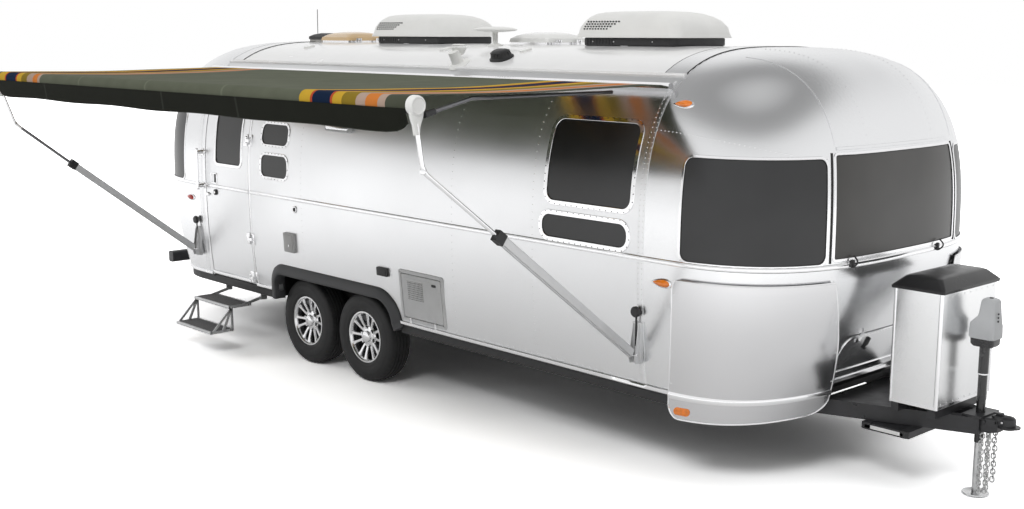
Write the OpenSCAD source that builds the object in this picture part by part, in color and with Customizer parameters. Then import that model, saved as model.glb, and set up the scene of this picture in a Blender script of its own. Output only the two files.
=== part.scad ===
// Travel caravan with rounded ends, a twin axle, an A-frame tongue and an extended side awning.
// Millimetres. +X points forward to the coupler, +Y to the road side, +Z up, ground at Z = 0.

/* [Body] */
// Width of the body at its widest line
body_w = 2612; // [2150:2:3150]
// Length of the straight walls between the two end caps
straight_l = 5264; // [4400:2:6400]
// Depth of the front end cap
cap_front = 1000; // [830:5:1200]
// Depth of the rear end cap
cap_rear = 1070; // [890:5:1290]
// Distance from the middle of the axles back to the rear cap
rear_over = 1867; // [1820:1:2240]
// Height of the widest line above the ground
belt_z = 1398; // [1300:1:1480]
// Height of the roof crown above the widest line
crown_h = 1257; // [1060:1:1500]
// Height of the lower edge of the walls
sill_z = 575; // [560:1:600]
// How far the side walls tuck in at the bottom
side_tuck = 56; // [20:1:70]
// How far the end caps tuck in at the bottom
end_tuck = 285; // [200:5:330]
// Squareness of the rounded cross-sections
square_n = 3.1; // [2.6:0.1:3.6]
// Thickness of walls, roof and end caps
wall_t = 50; // [40:1:60]

/* [Running gear] */
// Distance between the two axles
axle_gap = 794; // [780:1:952]
// Outer radius of the tyres
tyre_r = 359.5; // [300:0.5:365]
// Section width of the tyres
tyre_w = 224; // [187:1:236]
// Distance of each wheel's middle plane from the body's widest line
wheel_in = 223; // [215:1:260]

/* [Door] */
// Distance from the axles' middle back to the door hinges
door_hinge_back = 1050; // [1000:1:1090]
// Clear width of the doorway
door_w = 715; // [600:1:740]
// Height of the doorway's top
door_top = 2190; // [1900:1:2240]
// Gap around the door
door_gap = 6; // [5:0.5:8]

/* [Tongue] */
// Distance from the front cap to the coupler's ball
tongue_l = 730; // [700:1:860]
// Half angle of the A-frame
tongue_a = 20.3; // [18:0.1:22]
// Depth of the frame beams
beam_h = 100; // [80:1:104]
// Height of the tongue box
box_h = 780; // [560:1:800]
// Length of the tongue box along the body
box_l = 315; // [260:1:340]
// Width of the tongue box
box_w = 652; // [540:1:780]

/* [Awning] */
// Reach of the awning from the body's widest line to its roller
awning_reach = 1714; // [1420:1:2060]
// Height of the roller
roller_z = 2377; // [2340:1:2500]
// Front end of the awning ahead of the axles' middle
awning_front = 3340; // [3000:1:3360]
// Rear end of the awning behind the axles' middle
awning_rear = 1900; // [1600:1:1980]

/* [Hidden] */

$fn = 48;

hw = body_w / 2;
x_front = straight_l - rear_over;
x_rear = -rear_over;
x_nose = x_front + cap_front;
x_tail = x_rear - cap_rear;
crown_z = belt_z + crown_h;
rail_phi = 40;
low_n = 6;
up_n = 10;
cap_n = 28;
cap_m = 12;
fit = 0.05;

belly_z = sill_z - 70;
beam_top = belly_z - 0.5;
ball_x = x_nose + tongue_l;
coupler_tip = ball_x + 75;
bumper_x = x_tail - 52;
roller_y = -(hw + awning_reach);
roller_r = 46;
cloth_t = 8;
trim_t = 10;

x_max = coupler_tip;
x_min = bumper_x - 42;
y_max = hw + trim_t;
y_min = roller_y - roller_r - cloth_t - 1;
ox = -(x_max + x_min) / 2;
oy = -(y_max + y_min) / 2;

function se(v) = sign(v) * pow(abs(v), 2 / square_n);
function low_u(z) = (belt_z - z) / (belt_z - sill_z);
function half_low(z, off) = hw - off - side_tuck * pow(low_u(z), 2);
function depth_low(d, z, off) = d - off - end_tuck * pow(low_u(z), 2);
function half_at(z, off = 0) = z < belt_z
    ? half_low(z, off)
    : (hw - off) * pow(max(0, 1 - pow((z - belt_z) / (crown_h - off), square_n)), 1 / square_n);
function sec_pt(phi, off) = [(hw - off) * se(cos(phi)), belt_z + (crown_h - off) * se(sin(phi))];
function low_pts(off) = [for (i = [0:low_n])
    let (z = sill_z + (belt_z - sill_z) * i / low_n)
    [half_low(z, off), z]];
function up_pts(off, a0, a1, n) = [for (i = [0:n]) sec_pt(a0 + (a1 - a0) * i / n, off)];
function rev(v) = [for (i = [len(v) - 1:-1:0]) v[i]];
function tail(v) = [for (i = [1:len(v) - 1]) v[i]];
function side_line(off) = concat(low_pts(off), tail(up_pts(off, 0, rail_phi, up_n)));

module placed() {
    translate([ox, oy, 0])
        children();
}

// A flat outline with its x along Y and its y up, drawn out along X
module along_x(x0, x1) {
    translate([x0, 0, 0])
        rotate([90, 0, 90])
            linear_extrude(x1 - x0)
                children();
}

// A flat outline with its x along X and its y up, drawn out along Y
module along_y(y0, y1) {
    translate([0, y1, 0])
        rotate([90, 0, 0])
            linear_extrude(y1 - y0)
                children();
}

module rrect(w, h, r) {
    square([w - 2 * r, h], center = true);
    square([w, h - 2 * r], center = true);
    for (sx = [-1, 1], sy = [-1, 1])
        translate([sx * (w / 2 - r), sy * (h / 2 - r)])
            circle(r);
}

// Rounded rectangle given by its limits
module rlim(x0, x1, z0, z1, r) {
    translate([(x0 + x1) / 2, (z0 + z1) / 2])
        rrect(x1 - x0, z1 - z0, r);
}

module ring_box(x0, x1, z0, z1, r, b) {
    difference() {
        rlim(x0, x1, z0, z1, r);
        rlim(x0 + b, x1 - b, z0 + b, z1 - b, max(r - b, 2));
    }
}

// Curved side wall between two depths below the outer skin, on the road side
module side_skin(x0, x1, off_o, off_i) {
    along_x(x0, x1)
        polygon(concat(side_line(off_o), rev(side_line(off_i))));
}

module roof_skin(x0, x1, off_o, off_i, a0) {
    along_x(x0, x1)
        polygon(concat(up_pts(off_o, a0, 180 - a0, 2 * up_n),
                       rev(up_pts(off_i, a0, 180 - a0, 2 * up_n))));
}

// Everything inside the outer skin between two stations
module inside_skin(x0, x1, off = 0) {
    along_x(x0, x1)
        polygon(concat(side_line(off), tail(up_pts(off, rail_phi, 180 - rail_phi, 2 * up_n)),
                       tail(rev([for (p = side_line(off)) [-p[0], p[1]]]))));
}

// Plan outline of the body at a height below the widest line
function plan_arc(w, d, x0, dir) = [for (j = [0:cap_n])
    let (t = -90 + 180 * j / cap_n)
    [x0 + dir * d * se(cos(t)), dir * w * se(sin(t))]];
function plan_pts(z, off) = concat(
    plan_arc(half_low(z, off), depth_low(cap_front, z, off), x_front, 1),
    plan_arc(half_low(z, off), depth_low(cap_rear, z, off), x_rear, -1));

module plan(z, off) {
    polygon(plan_pts(z, off));
}

// Rows of points on an end cap, from the bottom edge up to the widest line
function cap_row_low(x0, d, dir, off, z) = [for (j = [0:cap_n])
    let (t = -90 + 180 * j / cap_n)
    [x0 + dir * depth_low(d, z, off) * se(cos(t)), half_low(z, off) * se(sin(t)), z]];
function cap_row_up(x0, d, dir, off, phi) = [for (j = [0:cap_n])
    let (t = -90 + 180 * j / cap_n)
    [x0 + dir * (d - off) * se(cos(phi)) * se(cos(t)),
     (hw - off) * se(cos(phi)) * se(sin(t)),
     belt_z + (crown_h - off) * se(sin(phi))]];
function flat(v) = [for (r = v) for (p = r) p];

// Faces of a shell made of two grids of m+1 rows by n+1 columns
function grid_faces(m, n, base, flip) = [for (i = [0:m - 1], j = [0:n - 1], k = [0, 1])
    let (a = base + i * (n + 1) + j, b = a + 1, c = a + n + 1, e = c + 1,
         f = k == 0 ? [a, b, e] : [a, e, c])
    flip ? rev(f) : f];
function strip(p, q, flip) = [for (i = [0:len(p) - 2], k = [0, 1])
    let (f = k == 0 ? [p[i], p[i + 1], q[i + 1]] : [p[i], q[i + 1], q[i]])
    flip ? rev(f) : f];

module low_cap(x0, d, dir, off_o, off_i) {
    m = low_n;
    n = cap_n;
    s = (m + 1) * (n + 1);
    zs = [for (i = [0:m]) sill_z + (belt_z - sill_z) * i / m];
    pts = concat(flat([for (z = zs) cap_row_low(x0, d, dir, off_o, z)]),
                 flat([for (z = zs) cap_row_low(x0, d, dir, off_i, z)]));
    bot = [for (j = [0:n]) j];
    top = [for (j = [0:n]) m * (n + 1) + j];
    lft = [for (i = [0:m]) i * (n + 1)];
    rgt = [for (i = [0:m]) i * (n + 1) + n];
    fl = dir > 0;
    polyhedron(pts, concat(
        grid_faces(m, n, 0, fl),
        grid_faces(m, n, s, !fl),
        strip(bot, [for (v = bot) v + s], !fl),
        strip(top, [for (v = top) v + s], fl),
        strip(lft, [for (v = lft) v + s], fl),
        strip(rgt, [for (v = rgt) v + s], !fl)));
}

module up_cap(x0, d, dir, off_o, off_i) {
    m = cap_m;
    n = cap_n;
    s = m * (n + 1) + 1;
    phis = [for (i = [0:m - 1]) 90 * i / m];
    pts = concat(flat([for (p = phis) cap_row_up(x0, d, dir, off_o, p)]),
                 [[x0, 0, belt_z + crown_h - off_o]],
                 flat([for (p = phis) cap_row_up(x0, d, dir, off_i, p)]),
                 [[x0, 0, belt_z + crown_h - off_i]]);
    pole = m * (n + 1);
    last = [for (j = [0:n]) (m - 1) * (n + 1) + j];
    bot = [for (j = [0:n]) j];
    lft = concat([for (i = [0:m - 1]) i * (n + 1)], [pole]);
    rgt = concat([for (i = [0:m - 1]) i * (n + 1) + n], [pole]);
    fl = dir > 0;
    fan = [for (j = [0:n - 1]) [last[j], last[j + 1], pole]];
    polyhedron(pts, concat(
        grid_faces(m - 1, n, 0, fl),
        grid_faces(m - 1, n, s, !fl),
        [for (f = fan) fl ? rev(f) : f],
        [for (f = fan) let (g = [for (v = f) v + s]) fl ? g : rev(g)],
        strip(bot, [for (v = bot) v + s], !fl),
        strip(lft, [for (v = lft) v + s], fl),
        strip(rgt, [for (v = rgt) v + s], !fl)));
}

// ---- window outlines -------------------------------------------------------

vista = [2535, 3320, 1650, 2225];
lower_oval = [2500, 3300, 1410, 1632];
small_up = [-870, -440, 1800, 2012];
small_low = [-870, -440, 1530, 1756];
door_win = [-1600, -1165, 1595, 2090];
frame_b = 32;
end_z0 = 1420;
end_z1 = 2035;
mid_half = 640;

module side_outlines(grow) {
    r = 95 + min(grow, 0);
    rlim(vista[0] - grow, vista[1] + grow, vista[2] - grow, vista[3] + grow, r);
    rlim(lower_oval[0] - grow, lower_oval[1] + grow, lower_oval[2] - grow,
         lower_oval[3] + grow - 14, r);
}

module small_outlines(grow) {
    r = 80 + min(grow, 0);
    rlim(small_up[0] - grow, small_up[1] + grow, small_up[2] - grow, small_up[3] + grow, r);
    rlim(small_low[0] - grow, small_low[1] + grow, small_low[2] - grow, small_low[3] + grow, r);
}

// Prism that takes the wrap-round corner window at an end, and its middle window
module end_prism(x0, d, dir, side, grow) {
    far = d * 0.87 + hw;
    q0 = 0.707 * (mid_half + 55 - 0.951 * d) - grow;
    q1 = 0.707 * (0.995 * hw - 0.143 * d) + grow;
    translate([x0, 0, 0])
        mirror([dir < 0 ? 1 : 0, 0, 0])
            mirror([0, side > 0 ? 0 : 1, 0])
                rotate([0, 0, 45])
                    translate([far * 0.25, 0, 0])
                        rotate([90, 0, 90])
                            linear_extrude(far)
                                rlim(q0, q1, end_z0 - grow, end_z1 + grow, 85 + min(grow, 0));
}

module mid_prism(x0, d, dir, grow) {
    along_x(dir > 0 ? x0 + d * 0.5 : x0 - d * 1.2, dir > 0 ? x0 + d * 1.2 : x0 - d * 0.5)
        rlim(-mid_half - grow, mid_half + grow, end_z0 + 10 - grow, end_z1 + 20 + grow,
             40 + min(grow, 0));
}

// ---- shell -----------------------------------------------------------------

well_x0 = -axle_gap / 2 - tyre_r - 46;
well_x1 = axle_gap / 2 + tyre_r + 190;
arch_x0 = -axle_gap / 2 - 303;
arch_x1 = axle_gap / 2 + 488;
arch_top = 2 * tyre_r + 18;
wheel_y = hw - wheel_in;
well_y = wheel_y - tyre_w / 2 - 30;
hinge_x = -door_hinge_back;
hinge_y = -(hw + 10);
door_x0 = hinge_x - door_w;
heater = [1020, 1485, 640, 985];

module wheel_arch_cut(y0, y1) {
    along_y(y0, y1)
        rlim(arch_x0, arch_x1, sill_z - 200, arch_top, 90);
}

module curb_wall() {
    placed()
        color("gainsboro")
            difference() {
                mirror([0, 1, 0])
                    side_skin(x_rear, x_front, 0, wall_t);
                along_y(-hw - 20, -hw + 300)
                    translate([door_x0, sill_z - 10])
                        square([door_w, door_top - sill_z + 10]);
                along_y(-hw - 20, -hw + 300)
                    side_outlines(0);
                along_y(-hw - 20, -hw + 300)
                    small_outlines(0);
                wheel_arch_cut(-hw - 20, -hw + 200);
                mirror([0, 1, 0])
                    intersection() {
                        side_skin(heater[0], heater[1], -1, 22);
                        translate([heater[0], hw - 300, heater[2]])
                            cube([heater[1] - heater[0], 400, heater[3] - heater[2]]);
                    }
            }
}

module road_wall() {
    placed()
        color("gainsboro")
            difference() {
                side_skin(x_rear, x_front, 0, wall_t);
                along_y(hw - 300, hw + 20)
                    side_outlines(0);
                along_y(hw - 300, hw + 20)
                    small_outlines(0);
                wheel_arch_cut(hw - 200, hw + 20);
            }
}

vent_w = 356;
vent_xs = [1243, -1300];
vent_ys = [0, 0];

module roof_panel() {
    placed()
        color("whitesmoke")
            difference() {
                roof_skin(x_rear, x_front, 0, wall_t, rail_phi);
                for (i = [0, 1])
                    translate([vent_xs[i] - vent_w / 2, vent_ys[i] - vent_w / 2, crown_z - 200])
                        cube([vent_w, vent_w, 300]);
            }
}

module front_cap_upper() {
    placed()
        color("gainsboro")
            difference() {
                up_cap(x_front, cap_front, 1, 0, wall_t);
                for (s = [-1, 1])
                    end_prism(x_front, cap_front, 1, s, 0);
                mid_prism(x_front, cap_front, 1, 0);
            }
}

module rear_cap_upper() {
    placed()
        color("gainsboro")
            difference() {
                up_cap(x_rear, cap_rear, -1, 0, wall_t);
                for (s = [-1, 1])
                    end_prism(x_rear, cap_rear, -1, s, 0);
                mid_prism(x_rear, cap_rear, -1, 0);
            }
}

hatch = [-460, 460, 655, 925];

module hatch_block(grow) {
    translate([x_front + 300, hatch[0] - grow, hatch[2] - grow])
        cube([cap_front, hatch[1] - hatch[0] + 2 * grow, hatch[3] - hatch[2] + 2 * grow]);
}

module front_cap_lower() {
    placed()
        color("gainsboro")
            difference() {
                low_cap(x_front, cap_front, 1, 0, wall_t);
                intersection() {
                    low_cap(x_front, cap_front, 1, -20, 24);
                    hatch_block(door_gap);
                }
            }
}

module rear_cap_lower() {
    placed()
        color("gainsboro")
            low_cap(x_rear, cap_rear, -1, 0, wall_t);
}

module bay_cut(z0, z1, grow) {
    for (s = [-1, 1])
        translate([well_x0 - grow, s > 0 ? well_y - grow : -hw - 100, z0])
            cube([well_x1 - well_x0 + 2 * grow, hw + 100 - well_y + grow, z1 - z0]);
}

module floor_pan() {
    placed()
        color("dimgray")
            difference() {
                translate([0, 0, belly_z])
                    linear_extrude(69.5)
                        plan(sill_z, 8);
                bay_cut(0, sill_z + 10, 10.5);
            }
}

module wheel_wells() {
    placed()
        color("dimgray")
            for (s = [-1, 1])
                difference() {
                    translate([well_x0 - 10, s > 0 ? well_y - 10 : -hw + 60, belly_z])
                        cube([well_x1 - well_x0 + 20, hw - 50 - well_y,
                              2 * tyre_r + 60 - belly_z]);
                    translate([well_x0, s > 0 ? well_y : -hw - 60, belly_z - 1])
                        cube([well_x1 - well_x0, hw + 60 - well_y, 2 * tyre_r + 51 - belly_z]);
                    difference() {
                        translate([well_x0 - 100, -hw - 100, 0])
                            cube([well_x1 - well_x0 + 200, 2 * hw + 200, 2 * tyre_r + 100]);
                        translate([0, 0, -1000])
                            linear_extrude(2000)
                                plan(sill_z, wall_t + 1);
                    }
                }
}

// ---- chassis ---------------------------------------------------------------

rail_y = 640;
tongue_rear_x = ball_x + 40 - (rail_y + 25) / tan(tongue_a);

module chassis_rails() {
    placed()
        color("dimgray")
            for (s = [-1, 1])
                difference() {
                    translate([bumper_x - 30, s * rail_y - 30, beam_top - beam_h])
                        cube([tongue_rear_x - 10 - bumper_x + 30, 60, beam_h]);
                    translate([bumper_x - 40, s * (rail_y + 30) - 26, beam_top - beam_h + 8])
                        cube([x_front - x_tail + 2000, 52, beam_h - 16]);
                }
}

module one_beam(s) {
    intersection() {
        translate([ball_x + 40, 0, beam_top - beam_h])
            rotate([0, 0, 180 - s * tongue_a])
                translate([0, -30, 0])
                    cube([3000, 60, beam_h]);
        translate([tongue_rear_x, s > 0 ? 6 : -900, 0])
            cube([ball_x - 130 - tongue_rear_x, 894, 1000]);
    }
}

module tongue_beams() {
    placed()
        color("black")
            for (s = [-1, 1])
                one_beam(s);
}

box_x1 = ball_x - 282;
box_x0 = box_x1 - box_l;
box_z = beam_top + 56;
jack_x = ball_x - 172;

module tongue_brackets() {
    placed()
        color("black") {
            for (x = [box_x0 + 12, box_x1 - 62])
                translate([x, -box_w / 2 + 10, beam_top])
                    cube([50, box_w - 20, box_z - beam_top]);
            difference() {
                translate([jack_x - 62, -110, beam_top])
                    cube([124, 220, 14]);
                translate([jack_x, 0, beam_top - 10])
                    cylinder(h = 60, r = 28);
            }
            for (x = [box_x0 - 150, box_x0 + 110])
                translate([x, -365, beam_top - beam_h - 42])
                    cube([60, 730, 41.5]);
            for (s = [-1, 1])
                translate([box_x0 - 90, s * 300 - 30, beam_top - beam_h - 42])
                    cube([200, 60, 20]);
        }
}

module coupler() {
    placed()
        color("black")
            difference() {
                union() {
                    translate([ball_x - 129.8, -80, beam_top - beam_h + 4])
                        cube([74, 160, beam_h - 8]);
                    translate([ball_x - 60, -32, beam_top - 82])
                        cube([29, 64, 92]);
                    translate([ball_x, 0, beam_top - 52])
                        cylinder(h = 62, r = 46);
                    translate([ball_x, -24, beam_top - 52])
                        cube([75, 48, 30]);
                    translate([ball_x - 42, -12, beam_top + 10])
                        cube([70, 24, 22]);
                }
                translate([ball_x, 0, beam_top - 90])
                    cylinder(h = 78, r = 29.8);
            }
}

leg_r = 22;

module jack_post() {
    placed()
        color("black")
            difference() {
                union() {
                    translate([jack_x, 0, 330])
                        cylinder(h = 592, r = 28);
                    translate([jack_x, 0, 880])
                        cylinder(h = 42, r = 42);
                    translate([jack_x, 0, 790])
                        cylinder(h = 14, r = 34);
                }
                translate([jack_x, 0, 320])
                    cylinder(h = 420, r = leg_r + fit);
            }
}

module jack_head() {
    placed()
        color("gray")
            translate([jack_x, 0, 922.5])
                hull() {
                    translate([-5, 0, 0])
                        linear_extrude(20)
                            rrect(150, 120, 30);
                    translate([-5, 0, 150])
                        linear_extrude(10)
                            rrect(165, 130, 35);
                    translate([-8, 0, 280])
                        linear_extrude(10)
                            rrect(96, 96, 35);
                }
}

module jack_leg() {
    placed()
        color("silver") {
            translate([jack_x, 0, 15])
                cylinder(h = 465, r = leg_r);
            difference() {
                translate([jack_x, 0, 0])
                    cylinder(h = 18, r1 = 78, r2 = 70);
                translate([jack_x, 0, 8])
                    cylinder(h = 20, r = 58);
            }
        }
}

module tongue_box() {
    placed()
        color("silver")
            difference() {
                translate([box_x0, -box_w / 2, box_z])
                    cube([box_l, box_w, box_h - 26]);
                translate([box_x0 + 5, -box_w / 2 + 5, box_z + 6])
                    cube([box_l - 10, box_w - 10, box_h]);
            }
}

lid_over = 14;
lid_h = 84;
lid_z = box_z + box_h;

module tongue_box_lid() {
    placed()
        color("black") {
            difference() {
                translate([box_x0 - lid_over, -box_w / 2 - lid_over, lid_z - lid_h])
                    cube([box_l + 2 * lid_over, box_w + 2 * lid_over, lid_h]);
                translate([box_x0 - 8, -box_w / 2 - 8, lid_z - lid_h - 10])
                    cube([box_l + 16, box_w + 16, lid_h - 10]);
            }
            at_lid_hinges() {
                cylinder(h = 60, r = pin_r, center = true);
                for (k = [-1, 1])
                    translate([0, 0, k * 20]) {
                        cylinder(h = 19, r = knuckle_r, center = true);
                        translate([-knuckle_r, 0, -9.5])
                            cube([knuckle_r + 11, 34, 19]);
                    }
            }
        }
}

module safety_chains() {
    placed()
        color("silver")
            for (s = [-1, 1])
                translate([jack_x + 88, s * 52, 30])
                    cylinder(h = beam_top - beam_h - 26.3, r = 14);
}

// ---- running gear ----------------------------------------------------------

module one_axle(x) {
    translate([x, 0, tyre_r]) {
        rotate([90, 0, 0])
            cylinder(h = 2 * (wheel_y - tyre_w / 2 - 8), r = 38, center = true);
        for (s = [-1, 1]) {
            translate([0, s * (wheel_y - tyre_w / 2 - 14), 0])
                rotate([90, 0, 0])
                    cylinder(h = 12, r = 150, center = true);
            translate([0, s * (wheel_y - tyre_w / 4 - 5), 0])
                rotate([90, 0, 0])
                    cylinder(h = tyre_w / 2 + 10, r = 20, center = true);
            translate([-45, s * rail_y - 30, 0])
                cube([90, 60, beam_top - beam_h - tyre_r - 0.5]);
        }
    }
}

module axles() {
    placed()
        color("dimgray")
            for (k = [-1, 1])
                one_axle(k * axle_gap / 2);
}

rim_r = 208;
bead_r = 196;
rim_half = tyre_w * 0.42;

// Tyre section: a C open towards the rim
function tyre_pts() = let (h = tyre_w / 2, t = 14, rr = tyre_r)
    [[bead_r + 0.2, -rim_half + 10], [rim_r + 2, -rim_half + 10], [rim_r + 6, -rim_half],
     [rim_r + 40, -h + 4], [rim_r + 80, -h], [rr - 32, -h + 8], [rr - 12, -h + 18],
     [rr - 2, -h + 38], [rr, -h + 74], [rr, h - 74], [rr - 2, h - 38], [rr - 12, h - 18],
     [rr - 32, h - 8], [rim_r + 80, h], [rim_r + 40, h - 4], [rim_r + 6, rim_half],
     [rim_r + 2, rim_half - 10], [bead_r + 0.2, rim_half - 10], [bead_r + 0.2, rim_half - 24],
     [rim_r + 10, rim_half - 22], [rim_r + 70, h - t], [rr - t - 8, h - t - 16],
     [rr - t, h - t - 50], [rr - t, -h + t + 50], [rr - t - 8, -h + t + 16],
     [rim_r + 70, -h + t], [rim_r + 10, -rim_half + 22], [bead_r + 0.2, -rim_half + 24]];

module tyre() {
    rotate_extrude($fn = 96)
        polygon(tyre_pts());
}

module at_wheel(x, s) {
    placed()
        translate([x, s * wheel_y, tyre_r])
            rotate([s > 0 ? -90 : 90, 0, 0])
                children();
}

// Rim with its axis up and its face at the top
module rim() {
    difference() {
        union() {
            rotate_extrude($fn = 96)
                polygon([[184, -rim_half + 2], [rim_r, -rim_half + 2], [rim_r, -rim_half + 9],
                         [bead_r, -rim_half + 10], [bead_r, rim_half - 10],
                         [rim_r, rim_half - 9], [rim_r, rim_half], [200, rim_half],
                         [184, rim_half - 12]]);
            rotate_extrude($fn = 96)
                polygon([[20 + fit, 20], [60, 20], [120, 34], [185, 52], [185, 70], [120, 58],
                         [78, 46], [70, 52], [20 + fit, 52]]);
            rotate_extrude($fn = 96)
                polygon([[20 + fit, -56], [140, -56], [140, 16], [60, 21], [20 + fit, 21]]);
            translate([0, 0, 51])
                cylinder(h = 28, r1 = 44, r2 = 34);
            for (i = [0:5])
                rotate([0, 0, 60 * i + 30])
                    translate([69.85, 0, 40])
                        cylinder(h = 26, r = 10);
        }
        for (i = [0:5]) {
            rotate([0, 0, 60 * i])
                translate([0, 0, 25])
                    linear_extrude(60)
                        polygon([[98, -12], [168, -40], [174, 0], [168, 40], [98, 12]]);
            rotate([0, 0, 60 * i + 30])
                translate([0, 0, 25])
                    linear_extrude(60)
                        polygon([[112, -5], [166, -15], [172, 0], [166, 15], [112, 5]]);
        }
    }
}

module tyre_curb_front() {
    color("dimgray")
        at_wheel(axle_gap / 2, -1)
            tyre();
}

module tyre_curb_rear() {
    color("dimgray")
        at_wheel(-axle_gap / 2, -1)
            tyre();
}

module tyre_road_front() {
    color("dimgray")
        at_wheel(axle_gap / 2, 1)
            tyre();
}

module tyre_road_rear() {
    color("dimgray")
        at_wheel(-axle_gap / 2, 1)
            tyre();
}

module rim_curb_front() {
    color("silver")
        at_wheel(axle_gap / 2, -1)
            rim();
}

module rim_curb_rear() {
    color("silver")
        at_wheel(-axle_gap / 2, -1)
            rim();
}

module rim_road_front() {
    color("silver")
        at_wheel(axle_gap / 2, 1)
            rim();
}

module rim_road_rear() {
    color("silver")
        at_wheel(-axle_gap / 2, 1)
            rim();
}

// ---- trims -----------------------------------------------------------------

fender_b = 96;

module fenders() {
    placed()
        color("darkslategray")
            for (s = [-1, 1])
                mirror([0, s > 0 ? 0 : 1, 0])
                    difference() {
                        along_y(hw - 110, hw - 8)
                            difference() {
                                rlim(arch_x0 - fender_b, arch_x1 + 70, belly_z - 60,
                                     arch_top + 84, 120);
                                rlim(arch_x0, arch_x1, belly_z - 400, arch_top, 90);
                                translate([arch_x0 - 300, belly_z - 100])
                                    square([arch_x1 - arch_x0 + 600, 100]);
                            }
                        inside_skin(arch_x0 - 300, arch_x1 + 300, -0.2);
                        translate([arch_x0 - 300, 0, belly_z - 300])
                            cube([arch_x1 - arch_x0 + 600, half_low(sill_z, 8) + 0.2, 400]);
                    }
}

module plan_band(z, h, out) {
    zt = min(z + h / 2, belt_z);
    translate([0, 0, z - h / 2])
        linear_extrude(h)
            difference() {
                plan(zt, -out);
                plan(zt, -0.3);
            }
}

module door_slot(grow) {
    translate([door_x0 - grow, -hw - 60, sill_z - 200])
        cube([door_w + 2 * grow, 400, door_top + 20]);
}

rail_pt = sec_pt(rail_phi + 4, 0);

module trim_rails() {
    placed()
        color("silver") {
            difference() {
                plan_band(belt_z, 24, trim_t);
                translate([door_x0 - 75, -hw - 60, belt_z - 50])
                    cube([door_w + 87, 400, 100]);
            }
            difference() {
                intersection() {
                    plan_band(sill_z + 15, 30, 14);
                    translate([x_tail - 50, -hw - 50, 0])
                        cube([x_front - x_tail + 250, 2 * hw + 100, 2000]);
                }
                door_slot(12);
                translate([arch_x0 - fender_b - 1, -hw - 50, 0])
                    cube([arch_x1 - arch_x0 + fender_b + 72, 2 * hw + 100, 1000]);
            }
            for (s = [-1, 1])
                difference() {
                    along_x(x_rear + 10, x_front - 10)
                        translate([s * (rail_pt[0] + 6) - 15, rail_pt[1] - 22])
                            square([30, 36]);
                    inside_skin(x_rear - 1, x_front + 1, -0.2);
                }
        }
}

module side_frame_rings() {
    along_y(hw - 300, hw + 20) {
        ring_box(vista[0] + 0.3, vista[1] - 0.3, vista[2] + 0.3, vista[3] - 0.3, 94.7, frame_b);
        ring_box(lower_oval[0] + 0.3, lower_oval[1] - 0.3, lower_oval[2] + 0.3,
                 lower_oval[3] - 14.3, 94.7, frame_b);
        ring_box(small_up[0] + 0.3, small_up[1] - 0.3, small_up[2] + 0.3, small_up[3] - 0.3,
                 79.7, 24);
        ring_box(small_low[0] + 0.3, small_low[1] - 0.3, small_low[2] + 0.3,
                 small_low[3] - 0.3, 79.7, 24);
    }
}

module window_frames() {
    placed()
        color("black") {
            for (s = [-1, 1])
                mirror([0, s > 0 ? 0 : 1, 0])
                    intersection() {
                        side_skin(x_rear, x_front, -7, 26);
                        side_frame_rings();
                    }
            for (e = [[x_front, cap_front, 1], [x_rear, cap_rear, -1]])
                intersection() {
                    up_cap(e[0], e[1], e[2], -4, 22);
                    union() {
                        for (s = [-1, 1])
                            difference() {
                                end_prism(e[0], e[1], e[2], s, -0.3);
                                end_prism(e[0], e[1], e[2], s, -14);
                            }
                        difference() {
                            mid_prism(e[0], e[1], e[2], -0.3);
                            mid_prism(e[0], e[1], e[2], -24);
                        }
                    }
                }
        }
}

module windows() {
    placed()
        color("dimgray") {
            for (s = [-1, 1])
                mirror([0, s > 0 ? 0 : 1, 0])
                    intersection() {
                        side_skin(x_rear, x_front, 6, 14);
                        along_y(hw - 300, hw + 20) {
                            side_outlines(-frame_b - 0.3);
                            small_outlines(-24.3);
                        }
                    }
            for (e = [[x_front, cap_front, 1], [x_rear, cap_rear, -1]])
                intersection() {
                    up_cap(e[0], e[1], e[2], 4, 12);
                    union() {
                        for (s = [-1, 1])
                            end_prism(e[0], e[1], e[2], s, -14.3);
                        mid_prism(e[0], e[1], e[2], -24.3);
                    }
                }
        }
}

// ---- entry door ------------------------------------------------------------

door_z0 = sill_z + 12;
hinge_zs = [650, 990, 1836];

module door_swing(r) {
    translate([hinge_x, hinge_y, 0])
        cylinder(h = 3000, r = r, $fn = 180);
}

module door_slab(off_o, off_i) {
    intersection() {
        mirror([0, 1, 0])
            side_skin(door_x0, hinge_x - door_gap, off_o, off_i);
        translate([door_x0, -hw - 50, door_z0])
            cube([door_w, 600, door_top - door_gap - door_z0]);
        door_swing(door_w - door_gap);
    }
}

// Hinge with its pin along Z; the fixed leaf points to +X, the moving one to -X, and both
// reach in along +Y to the skin they are cut to
pin_r = 4;
knuckle_r = 9;

module hinge_moving(h, leaf, deep) {
    cylinder(h = h, r = pin_r, center = true);
    for (k = [-1, 1])
        translate([0, 0, k * h / 3]) {
            cylinder(h = h / 3 - 1, r = knuckle_r, center = true);
            translate([-leaf, -4, -h / 6 + 0.5])
                cube([leaf, deep + 4, h / 3 - 1]);
        }
}

module hinge_fixed(h, leaf, deep) {
    difference() {
        union() {
            cylinder(h = h / 3 - 1, r = knuckle_r, center = true);
            translate([0, -4, -h / 6 + 0.5])
                cube([leaf, deep + 4, h / 3 - 1]);
        }
        cylinder(h = h, r = pin_r + fit, center = true);
    }
}

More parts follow.
